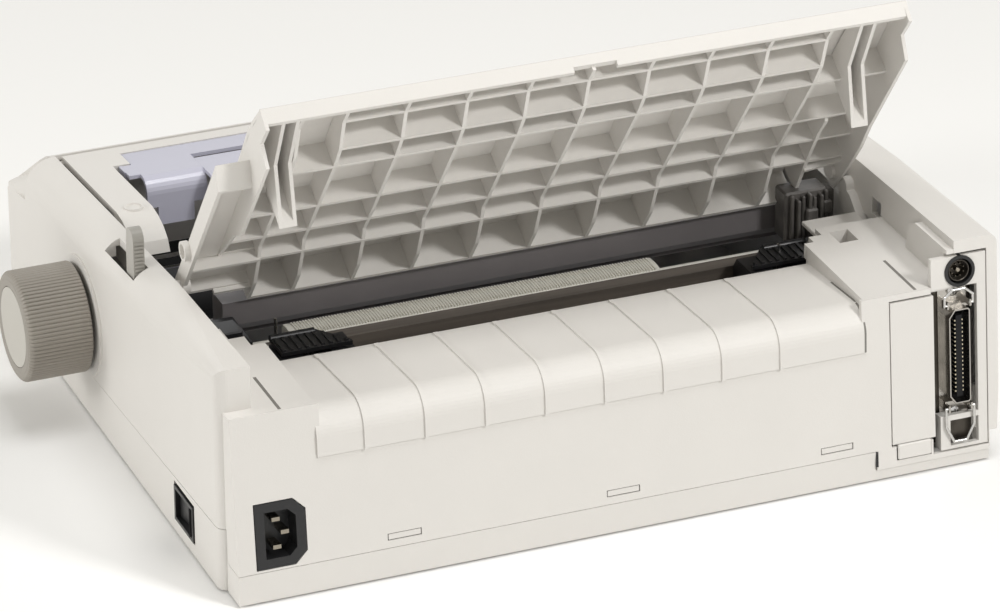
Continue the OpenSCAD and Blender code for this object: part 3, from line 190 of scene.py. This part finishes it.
for finish, names in PARTS_BY_FINISH.items():
    for name in names:
        for part_slot in NODES[name].material_slots:
            part_slot.link = "OBJECT"
            part_slot.material = FINISH[finish]

# ---------------------------------------------------------------- edges of the fixed parts
CRISP_ANGLE, BEVEL_ANGLE = math.radians(33), math.radians(38)
SOFT_EDGE, SMALL_EDGE = 0.45 * MM, 0.2 * MM
# parts whose teeth, wires or pins are too fine for a rounded edge
FINE = {"upper_bail", "lower_bail", "connector_insert", "ribbed_guide_bar", "inlet_pins", "carriage_belt",
        "rubber_feet", "platen_gear", "idler_gear_front", "idler_gear_rear", "tractor_gear", "feed_pinion"}
SMALL_EDGED = {"platen_knob", "separator", "gap_lever", "connector_bracket", "connector_shell"}


def smooth_group():
    """A node group that shades faces smooth and keeps edges sharper than CRISP_ANGLE crisp."""
    g = bpy.data.node_groups.new("smooth_by_angle", "GeometryNodeTree")
    g.interface.new_socket("Geometry", in_out="INPUT", socket_type="NodeSocketGeometry")
    g.interface.new_socket("Geometry", in_out="OUTPUT", socket_type="NodeSocketGeometry")
    n_in = g.nodes.new("NodeGroupInput")
    n_out = g.nodes.new("NodeGroupOutput")
    faces = g.nodes.new("GeometryNodeSetShadeSmooth")
    faces.domain = "FACE"
    edges = g.nodes.new("GeometryNodeSetShadeSmooth")
    edges.domain = "EDGE"
    edges.inputs["Shade Smooth"].default_value = False
    angle = g.nodes.new("GeometryNodeInputMeshEdgeAngle")
    sharper = g.nodes.new("FunctionNodeCompare")
    sharper.data_type = "FLOAT"
    sharper.operation = "GREATER_THAN"
    sharper.inputs[1].default_value = CRISP_ANGLE
    g.links.new(angle.outputs["Unsigned Angle"], sharper.inputs[0])
    g.links.new(n_in.outputs[0], faces.inputs["Geometry"])
    g.links.new(faces.outputs[0], edges.inputs["Geometry"])
    g.links.new(sharper.outputs[0], edges.inputs["Selection"])
    g.links.new(edges.outputs[0], n_out.inputs[0])
    return g


SMOOTH = smooth_group()
for name, part in NODES.items():
    if name not in FINE:
        bevel = part.modifiers.new("soft_edge", "BEVEL")
        bevel.width = SMALL_EDGE if name in SMALL_EDGED else SOFT_EDGE
        bevel.segments = 2
        bevel.limit_method = "ANGLE"
        bevel.angle_limit = BEVEL_ANGLE
    part.modifiers.new("smooth", "NODES").node_group = SMOOTH


# ---------------------------------------------------------------- surfaces
def strips(rows, cols, closed=False):
    """Quads between neighbouring rows of a grid of rings; closed joins the last row to the first."""
    i, k = np.meshgrid(np.arange(rows if closed else rows - 1), np.arange(cols), indexing="ij")
    next_i, next_k = (i + 1) % rows, (k + 1) % cols
    corners = [i * cols + k, i * cols + next_k, next_i * cols + next_k, next_i * cols + k]
    return np.stack(corners, 2).reshape(-1, 4).tolist()


def capped(rows, cols):
    """Quads along a grid of rings with a flat face over the first ring and over the last, in that order."""
    ring = np.arange(cols)
    return strips(rows, cols) + [ring[::-1].tolist(), ((rows - 1) * cols + ring).tolist()]


def turned(profile, n=32):
    """A profile of (radius, height) rows turned round the local y axis, closed at both ends.

    Each row gives the ring (r cos a, h, r sin a) for n even angles a; a last row of radius 0 is one point."""
    r, h = np.array(profile, float).T
    pole = r[-1] == 0
    rings = len(r) - int(pole)
    a = -2 * math.pi * np.arange(n) / n
    radius = r[:rings, None]
    height = np.repeat(h[:rings, None], n, axis=1)
    pts = np.stack([radius * np.cos(a), height, radius * np.sin(a)], 2).reshape(-1, 3)
    faces = capped(rings, n)
    if pole:
        last = np.array(faces.pop())
        faces += np.stack([last, np.roll(last, -1), np.full(n, len(pts))], 1).tolist()
        pts = np.vstack([pts, (0.0, h[-1], 0.0)])
    return pts, faces


def cross_head(r, h, depth=0.9, rings=14, n=48):
    """A pan head of radius r with a cross recess, its axis along local y and its seat at y = 0.

    The top stands at h (1 - (t / r)^2 / 3) at distance t from the axis, and sinks by depth where the
    smaller of |x| and |z| is under 0.13 r and t is under 0.62 r."""
    t = r * np.linspace(1, 0, rings + 1)
    pts, faces = turned([(r, 0.0), *zip(t, h * (1 - (t / r) ** 2 / 3))], n)
    x, z = abs(pts[:, 0]), abs(pts[:, 2])
    in_cross = (np.minimum(x, z) < 0.13 * r) & (np.hypot(x, z) < 0.62 * r)
    pts[:, 1] -= depth * in_cross
    return pts, faces


WIRE_SIDE = np.array([0.3, 0.2, 0.93])      # a slanting direction that no wire here runs along


def wire(path, r, n=12):
    """A round wire of radius r along a path of points, with flat ends.

    The ring at a point p is p + r (u cos a + v sin a), square to the path's direction t there, with
    u along t x WIRE_SIDE and v = t x u."""
    path = np.asarray(path, float)
    t = np.gradient(path, axis=0)
    t /= np.linalg.norm(t, axis=1, keepdims=True)
    u = np.cross(t, WIRE_SIDE)
    u /= np.linalg.norm(u, axis=1, keepdims=True)
    v = np.cross(t, u)
    a = (2 * math.pi * np.arange(n) / n)[:, None]
    pts = path[:, None] + r * (np.cos(a) * u[:, None] + np.sin(a) * v[:, None])
    return pts.reshape(-1, 3), capped(len(path), n)


def ridge(x0, x1, profile, above, below):
    """A thin bar between x0 and x1 carried along a profile of (y, z) rows.

    Its cross-section runs from above millimetres outside the profile to below millimetres inside it, along
    the profile's normal (-dz, dy)."""
    q = np.asarray(profile, float)
    d = np.gradient(q, axis=0)
    normal = np.stack([-d[:, 1], d[:, 0]], 1) / np.linalg.norm(d, axis=1, keepdims=True)
    outer, inner = q + above * normal, q - below * normal
    section = ((x0, outer), (x1, outer), (x1, inner), (x0, inner))
    corners = [np.insert(side, 0, x, axis=1) for x, side in section]
    return np.stack(corners, 1).reshape(-1, 3), capped(len(q), 4)


def grip_sleeve(x0, length, axis, r, ribs, depth, chamfer, wall, per_rib=8):
    """A ribbed sleeve round an axis that runs along x through (y, z) = axis.

    At angle a the radius is r - depth (1 - |cos(ribs a / 2)|^0.5), which gives broad rounded ribs parted by
    narrow grooves. Over the last chamfer millimetres, with u running from 0 to 1, it draws in by
    0.85 chamfer u^2 while the grooves lose 0.75 u^3 of their depth. The bore lies wall millimetres
    inside the drawn-in end."""
    n = ribs * per_rib
    a = np.linspace(0, 2 * math.pi, n, endpoint=False)
    straight = length - chamfer
    s = np.concatenate([[0.0], np.linspace(0.6, straight, 4), straight + chamfer * np.linspace(0.12, 1, 9)])
    u = np.clip((s - straight) / chamfer, 0, 1)[:, None]
    drawn_in = 0.85 * chamfer
    groove = depth * (1 - np.abs(np.cos(ribs * a / 2)) ** 0.5)
    skin = r - drawn_in * u ** 2 - groove * (1 - 0.75 * u ** 3)
    bore = np.full((2, n), r - drawn_in - wall)
    radius = np.concatenate([skin, bore])
    x = np.repeat(x0 + np.append(s, [length, 0.0])[:, None], n, axis=1)
    pts = np.stack([x, axis[0] + radius * np.cos(a), axis[1] + radius * np.sin(a)], 2)
    return pts.reshape(-1, 3), strips(len(x), n, closed=True)


CORNERS = np.array(list(np.ndindex(2, 2, 2)))


def block_points(lo, hi, cut):
    """Three points by each corner, moved inwards by cut along all but one axis."""
    corner = lo + CORNERS * (hi - lo)
    inwards = 1 - 2 * CORNERS
    return (corner[:, None] + cut * inwards[:, None] * (1 - np.eye(3))).reshape(-1, 3)


def block_faces():
    """Faces of a block with cut edges whose point 3 c + e lies by corner c on the face square to axis e.

    They are six flat faces, twelve cut edges and eight cut corners, each turned so that it faces outwards."""
    number = {tuple(c): 3 * i for i, c in enumerate(CORNERS)}
    faces = [[3 * c, 3 * c + 1, 3 * c + 2] for c in range(8)]
    for e in range(3):
        u, v = (e + 1) % 3, (e + 2) % 3

        def at(side, p, q):
            corner = np.zeros(3, int)
            corner[[e, u, v]] = side, p, q
            return number[tuple(corner)]

        ring = ((0, 0), (1, 0), (1, 1), (0, 1))
        faces += [[at(side, p, q) + e for p, q in ring] for side in (0, 1)]
        faces += [[at(0, p, q) + u, at(1, p, q) + u, at(1, p, q) + v, at(0, p, q) + v] for p, q in ring]
    pts = block_points(np.zeros(3), np.ones(3), 0.2)
    centre = pts.mean(axis=0)
    for f in faces:
        normal = np.cross(pts[f[1]] - pts[f[0]], pts[f[2]] - pts[f[0]])
        if normal @ (pts[f].mean(axis=0) - centre) < 0:
            f.reverse()
    return faces


BLOCK_FACES = block_faces()


def block(lo, hi, cut=0.4):
    """A block between two opposite corners with its edges cut at 45 degrees, cut millimetres wide."""
    return block_points(np.array(lo, float), np.array(hi, float), cut), BLOCK_FACES


def joined(shapes):
    """Several (points, faces) shapes as one."""
    starts = np.cumsum([0] + [len(pts) for pts, _ in shapes])
    faces = [[i + int(start) for i in face] for start, (_, part) in zip(starts, shapes) for face in part]
    return np.concatenate([pts for pts, _ in shapes]), faces


def shifted(shape, dx=0.0, dy=0.0, dz=0.0):
    """A shape moved by the given millimetres."""
    return shape[0] + np.array([dx, dy, dz]), shape[1]


REAR_SLOPE = 0.104                 # forward lean of the rear face for each millimetre of height
REAR_FOOT = (345.0, 16.5)          # y and z at which the rear face starts
LEAN = math.atan(REAR_SLOPE)


def on_rear(x0, z0, shape):
    """A shape set on the leaning rear face at (x0, z0): its x runs along, y outwards and z up the face.

    The frame is turned about x by the lean, so (y, z) becomes (y cos - z sin, y sin + z cos)."""
    x, y, z = shape[0].T
    y0 = REAR_FOOT[0] - REAR_SLOPE * (z0 - REAR_FOOT[1])
    pts = np.stack([x0 + x, y0 + y * math.cos(LEAN) - z * math.sin(LEAN),
                    z0 + y * math.sin(LEAN) + z * math.cos(LEAN)], 1)
    return pts, shape[1]


# ---------------------------------------------------------------- added pieces
def add(name, shape, finish):
    """A new object made of a shape in drawing millimetres, in one finish."""
    mesh = bpy.data.meshes.new(name)
    mesh.from_pydata(shared(shape[0]).tolist(), [], shape[1])
    mesh.update()
    mesh.materials.append(FINISH[finish])
    piece = bpy.data.objects.new(name, mesh)
    scene.collection.objects.link(piece)
    piece.modifiers.new("smooth", "NODES").node_group = SMOOTH
    return piece


pieces = []      # (piece, record slot) of all that stands still with the case


def fixed(name, shape, slot, finish):
    """A new piece that stands still with the case, in one finish; slot is not used."""
    pieces.append((add(name, shape, finish), slot))


# printer connector: contacts on both faces of its tongue, and the two fixing screws
PORT = (-177.8, 58.5)              # middle of the connector on the rear face
CONTACT_COUNT, CONTACT_PITCH = 18, 2.159
CONTACT_XS, CONTACT_WIDTH = (-2.25, 1.55), 0.70
CONTACT_YS, CONTACT_HALF = (-3.9, 0.34), 0.42
SCREW_ZS, SCREW_SEAT = (-31.6, 31.6), -7.0

contact_zs = (np.arange(CONTACT_COUNT) - (CONTACT_COUNT - 1) / 2) * CONTACT_PITCH
contacts = [block((x, CONTACT_YS[0], z - CONTACT_HALF),
                  (x + CONTACT_WIDTH, CONTACT_YS[1], z + CONTACT_HALF), 0.12)
            for z in contact_zs for x in CONTACT_XS]
fixed("connector_contacts", on_rear(*PORT, joined(contacts)), "brass", "contact")

screws = joined([shifted(cross_head(2.7, 1.9), dy=SCREW_SEAT, dz=z) for z in SCREW_ZS])
fixed("connector_screws", on_rear(*PORT, screws), "zinc_steel", "bright")

# round socket: its shield, its middle post and a circle of pins, all from the socket's floor
SOCKET_SHIFT = {"dx": -1.3, "dz": 43.4}      # from the connector's middle
SOCKET_FLOOR = -5.9
PIN_CIRCLE, PIN_ANGLES = 3.3, np.radians(np.arange(22, 338, 45))

shield = turned([(5.55, SOCKET_FLOOR), (5.55, -1.3), (5.35, -1.1), (5.05, -1.1), (4.9, -1.3),
                 (4.9, SOCKET_FLOOR)], 48)
post = turned([(1.2, SOCKET_FLOOR), (1.2, -2.2), (0.9, -1.9), (0.0, -1.9)], 24)
pin = turned([(0.38, SOCKET_FLOOR), (0.38, -2.6), (0.2, -2.3), (0.0, -2.3)], 12)
pins = [shifted(pin, dx=PIN_CIRCLE * math.cos(a), dz=PIN_CIRCLE * math.sin(a)) for a in PIN_ANGLES]
fixed("socket_shield", on_rear(*PORT, shifted(shield, **SOCKET_SHIFT)), "dark_steel", "plate")
fixed("socket_pins", on_rear(*PORT, shifted(joined([post] + pins), **SOCKET_SHIFT)), "brass", "pins")

# plugs in the three moulded slots of the rear face, each over a black sheet that paints the shade in the gap
# round it
BAND_Z = 16.7                      # height of the seam between base and rear face
SLOT_XS, SLOT_HALF, SLOT_ZS = (112.4, 0.5, -111.9), 8.6, (3.7, 7.3)
PLUG_SIDE, PLUG_HEAD, PLUG_YS = 0.45, 0.40, (-0.74, -0.12)
GAP_SIDE, GAP_YS = 0.05, (-0.79, -0.74)

plugs = [block((x - SLOT_HALF + PLUG_SIDE, PLUG_YS[0], SLOT_ZS[0] + PLUG_SIDE),
               (x + SLOT_HALF - PLUG_SIDE, PLUG_YS[1], SLOT_ZS[1] - PLUG_HEAD), 0.12) for x in SLOT_XS]
# thin black sheets just behind the plugs; seen through the gaps round them, they are painted shade
gaps = [block((x - SLOT_HALF + GAP_SIDE, GAP_YS[0], SLOT_ZS[0] + GAP_SIDE),
              (x + SLOT_HALF - GAP_SIDE, GAP_YS[1], SLOT_ZS[1] - GAP_SIDE), 0.02) for x in SLOT_XS]
fixed("slot_plugs", on_rear(0.0, BAND_Z, joined(plugs)), "case_plastic", "case")
fixed("slot_gap_shade", on_rear(0.0, BAND_Z, joined(gaps)), "black_plastic", "black")

# tab below the option cover
TAB_X = -153.0
tab = block((-9.1, -0.5, -6.3), (8.9, 1.0, 1.5), 0.6)
fixed("option_cover_tab", on_rear(TAB_X, BAND_Z, tab), "case_plastic", "case")

# latch pin and hooked wire of the knob side tractor
LATCH_XY, LATCH_ZS = (134.6, 231.0), (70.0, 87.6)
HOOK_AT, HOOK_FOOT, HOOK_R, HOOK_DRIFT = (146.6, 252.5, 84.5), 78.0, 1.6, 0.2

t = np.linspace(0.3, 2.9, 9)
bend = np.array(HOOK_AT) + np.stack([HOOK_DRIFT * t, HOOK_R * (1 - np.cos(t)), HOOK_R * np.sin(t)], 1)
hook = wire(np.vstack([(*HOOK_AT[:2], HOOK_FOOT), HOOK_AT, bend]), 0.55)
latch = wire([(*LATCH_XY, LATCH_ZS[0]), (*LATCH_XY, LATCH_ZS[1])], 0.75, 16)
fixed("tractor_latch", joined([latch, hook]), "bright_steel", "bright")

# dark housing at the knob side end of the paper path: a body, its cap and eight cooling fins
LEFT_FINS, LEFT_FIN_PITCH, LEFT_FIN_WIDTH = 8, 2.6, 1.2
left_housing = [block((146.5, 203, 64), (170, 232, 78.5), 0.8),
                block((150, 214, 78.3), (168, 228, 82.5), 0.7)]
for x in 148 + LEFT_FIN_PITCH * np.arange(LEFT_FINS):
    left_housing.append(block((x, 228, 66), (x + LEFT_FIN_WIDTH, 233.0, 79.3), 0.3))
fixed("left_bearing_housing", joined(left_housing), "black_plastic", "black")

# dark housing at the far end: a body, its wing, seven uneven ribs and two lugs
RIGHT_RIBS, RIGHT_RIB_PITCH, RIGHT_RIB_WIDTH = 7, 3.1, 1.8
right_housing = [block((-164.5, 203, 70), (-141.5, 216, 97.0), 1.0),
                 block((-169.8, 205, 74), (-163.5, 213.5, 94), 0.8)]
for i in range(RIGHT_RIBS):
    x, back, top = -164.2 + RIGHT_RIB_PITCH * i, 218.4 + 1.6 * (i % 2), 96.2 - 1.3 * (i % 3)
    right_housing.append(block((x, 214, 72), (x + RIGHT_RIB_WIDTH, back, top), 0.45))
right_housing += [block((-158.0, 215, 78), (-151.5, 221.0, 88.5), 0.9),
                  block((-166.0, 214, 84), (-161.0, 219.5, 91.0), 0.8)]
fixed("right_bearing_housing", joined(right_housing), "dark_plastic", "mass")

# low shelf in front of the far ledge, with the lip that meets the ledge
SHELF_XS, LIP_YS = (-171.9, -142.6), (252.8, 254.5)
shelf = joined([block((SHELF_XS[0], 233.2, 87.4), (SHELF_XS[1], 254.2, 89.6), 0.4),
                block((SHELF_XS[0], LIP_YS[0], 89.0), (SHELF_XS[1], LIP_YS[1], 94.8), 0.3)])
fixed("right_shelf", shelf, "case_plastic", "case")

# closed pocket under the ledge's slot, which takes the far pair of fins
LEDGE_Z, LEDGE_THICK = 95.4, 2.4
POCKET_XS, POCKET_YS, POCKET_ZS = (-154.5, -144.5), (261.0, 274.0), (79.5, LEDGE_Z - LEDGE_THICK)
POCKET_WALL = 1.0


def pocket(xs, ys, zs, wall):
    """An open box: a floor under the clear space given by xs, ys and zs, and four walls round it."""
    (x0, x1), (y0, y1), (z0, z1) = xs, ys, zs
    return joined([block((x0 - wall, y0 - wall, z0 - wall), (x1 + wall, y1 + wall, z0), 0.1),
                   block((x0 - wall, y0 - wall, z0), (x0, y1 + wall, z1), 0.1),
                   block((x1, y0 - wall, z0), (x1 + wall, y1 + wall, z1), 0.1),
                   block((x0, y0 - wall, z0), (x1, y0, z1), 0.1),
                   block((x0, y1, z0), (x1, y1 + wall, z1), 0.1)])


fixed("fin_pocket", pocket(POCKET_XS, POCKET_YS, POCKET_ZS, POCKET_WALL), "case_plastic", "case")

# narrow dark strips in the groove_shadow finish: painted shade in the groove along each ledge, and a painted
# shadow line round the far end of the hump, down its rolled edge
GROOVE_XS, GROOVE_YS, GROOVE_HALF = (170.0, -156.0), (300.0, 335.0), 0.8
HUMP_END_XS = (-128.2, -127.2)
HUMP_TOP = [(300.0, 88.95), (312.0, 89.87), (325.6, 90.9)]
HUMP_ROLL, HUMP_ROLL_R = (326.6, 77.6), 13.3
HUMP_FOOT = (340.45, 69.6)

# each strip fills its ledge groove to just above the ledge; its dark colour is painted shade
grooves = [block((x - GROOVE_HALF, GROOVE_YS[0], LEDGE_Z - 0.5),
                 (x + GROOVE_HALF, GROOVE_YS[1], LEDGE_Z + 0.06), 0.04) for x in GROOVE_XS]
fixed("ledge_groove_shade", joined(grooves), "dark_plastic", "shade")
# no groove here: a thin dark strip along the hump's profile paints the shadow that the ledge's side wall
# casts on the hump's far end
turn = np.radians(np.linspace(84, 6, 18))[1:]
roll = np.array(HUMP_ROLL) + HUMP_ROLL_R * np.stack([np.cos(turn), np.sin(turn)], 1)
hump_end = ridge(*HUMP_END_XS, np.vstack([HUMP_TOP, roll, HUMP_FOOT]), 0.06, 0.25)
fixed("hump_end_shadow_line", hump_end, "dark_plastic", "shade")

# black block in the open step of the base beside the option cover: painted shade
STEP_X = -133.1
step = block((-0.65, -0.4, -8.3), (0.65, 0.12, -0.2), 0.05)
fixed("base_step_gap_shade", on_rear(STEP_X, BAND_Z, step), "black_plastic", "black")

for piece, slot in pieces:
    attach(piece, "chassis")

# bright catch that stands up from the far tractor's lid
CATCH_XY, CATCH_FOOT = (-124.2, 248.0), 82.0
CATCH_STEPS = [(0.0, 0.0), (0.0, 2.6), (0.3, 4.2), (1.3, 5.2)]      # sideways and upwards from its foot
catch_path = [(CATCH_XY[0] + dx, CATCH_XY[1], CATCH_FOOT + dz) for dx, dz in CATCH_STEPS]
catch = add("lid_catch", wire(catch_path, 0.65), "bright")
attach(catch, "right_tractor_cover")

# ribbed grip over the plain body of the knob
KNOB_RIBS, RIB_DEPTH, RIB_RISE = 84, 0.62, 0.35
knob_lo, knob_hi = node_box("platen_knob")
knob_axis = (knob_lo + knob_hi)[1:] / 2
knob_radius = (knob_hi - knob_lo)[1] / 2
sleeve_start, sleeve_end = knob_lo[0] + 0.5, knob_hi[0] - 0.1
sleeve = grip_sleeve(sleeve_start, sleeve_end - sleeve_start, knob_axis, knob_radius + RIB_RISE,
                     KNOB_RIBS, RIB_DEPTH, chamfer=2.4, wall=2.05)
grip = add("knob_grip_ribs", sleeve, "taupe")
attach(grip, "platen")

# ---------------------------------------------------------------- studio
FLOOR_HALF = 6.0
floor_mesh = bpy.data.meshes.new("studio_floor")
floor_corners = [(-FLOOR_HALF, -FLOOR_HALF, 0), (FLOOR_HALF, -FLOOR_HALF, 0),
                 (FLOOR_HALF, FLOOR_HALF, 0), (-FLOOR_HALF, FLOOR_HALF, 0)]
floor_mesh.from_pydata(floor_corners, [], [(0, 1, 2, 3)])
floor = bpy.data.objects.new("studio_floor", floor_mesh)
scene.collection.objects.link(floor)
floor_mesh.materials.append(material("floor_paper", (0.97, 0.97, 0.97), 0.8))

FILL_COLOUR, FILL_STRENGTH = (1.0, 0.97, 0.88, 1), 0.39


def studio_world():
    """A soft even fill that camera, glossy and transmission rays see as plain white."""
    world = bpy.data.worlds.new("studio")
    world.use_nodes = True
    tree = world.node_tree
    fill = tree.nodes["Background"]
    fill.inputs["Color"].default_value = FILL_COLOUR
    fill.inputs["Strength"].default_value = FILL_STRENGTH
    white = tree.nodes.new("ShaderNodeBackground")
    white.inputs["Color"].default_value = (1, 1, 1, 1)
    white.inputs["Strength"].default_value = 1.0
    path = tree.nodes.new("ShaderNodeLightPath")
    sees_white = path.outputs["Is Camera Ray"]
    for kind in ("Is Glossy Ray", "Is Transmission Ray"):
        either = tree.nodes.new("ShaderNodeMath")
        either.operation = "MAXIMUM"
        tree.links.new(sees_white, either.inputs[0])
        tree.links.new(path.outputs[kind], either.inputs[1])
        sees_white = either.outputs[0]
    mix = tree.nodes.new("ShaderNodeMixShader")
    tree.links.new(sees_white, mix.inputs[0])
    tree.links.new(fill.outputs[0], mix.inputs[1])
    tree.links.new(white.outputs[0], mix.inputs[2])
    tree.links.new(mix.outputs[0], tree.nodes["World Output"].inputs["Surface"])
    return world


def area_light(name, at, toward, size, power, colour=(1, 1, 1)):
    """A soft rectangular lamp at a point, facing another point, in metres of the shared frame."""
    lamp = bpy.data.lights.new(name, "AREA")
    lamp.shape = "RECTANGLE"
    lamp.size, lamp.size_y = size
    lamp.energy = power
    lamp.color = colour
    holder = bpy.data.objects.new(name, lamp)
    holder.location = at
    holder.rotation_euler = (Vector(toward) - Vector(at)).to_track_quat("-Z", "Y").to_euler()
    scene.collection.objects.link(holder)


scene.world = studio_world()
area_light("key_light", (-1.08, 1.80, 1.70), (0, 0, 0.08), (0.40, 0.40), 27, (1.0, 0.99, 0.975))
area_light("side_light", (2.0, -0.35, 0.75), (0, 0, 0.06), (1.0, 0.8), 15, (1.0, 0.99, 0.97))
area_light("top_light", (-0.1, 0.45, 2.3), (0, 0, 0.08), (0.9, 0.9), 17)

# ---------------------------------------------------------------- camera
CAMERA_AT = (942.266, 2537.568, 1306.775)
AZIMUTH, ELEVATION, ROLL = (math.radians(a) for a in (158.166, 26.422, -0.304))
SENSOR_MM = 36.0
FOCAL_TO_WIDTH = 5.67287           # focal length for each unit of sensor width

level = math.cos(ELEVATION)
back = Vector((math.sin(AZIMUTH) * level, -math.cos(AZIMUTH) * level, math.sin(ELEVATION)))
flat_right = Vector((math.cos(AZIMUTH), math.sin(AZIMUTH), 0.0))
flat_up = back.cross(flat_right)
right = flat_right * math.cos(ROLL) + flat_up * math.sin(ROLL)
up = -flat_right * math.sin(ROLL) + flat_up * math.cos(ROLL)
cam_data = bpy.data.cameras.new("studio_camera")
cam_data.sensor_width = SENSOR_MM
cam_data.lens = FOCAL_TO_WIDTH * SENSOR_MM
cam_data.clip_start, cam_data.clip_end = 0.1, 50.0
cam = bpy.data.objects.new("studio_camera", cam_data)
scene.collection.objects.link(cam)
turned_to = Matrix((right, up, back)).transposed().to_4x4()
cam.matrix_world = Matrix.Translation(Vector(shared(CAMERA_AT))) @ turned_to
scene.camera = cam
scene.view_settings.view_transform = "Standard"
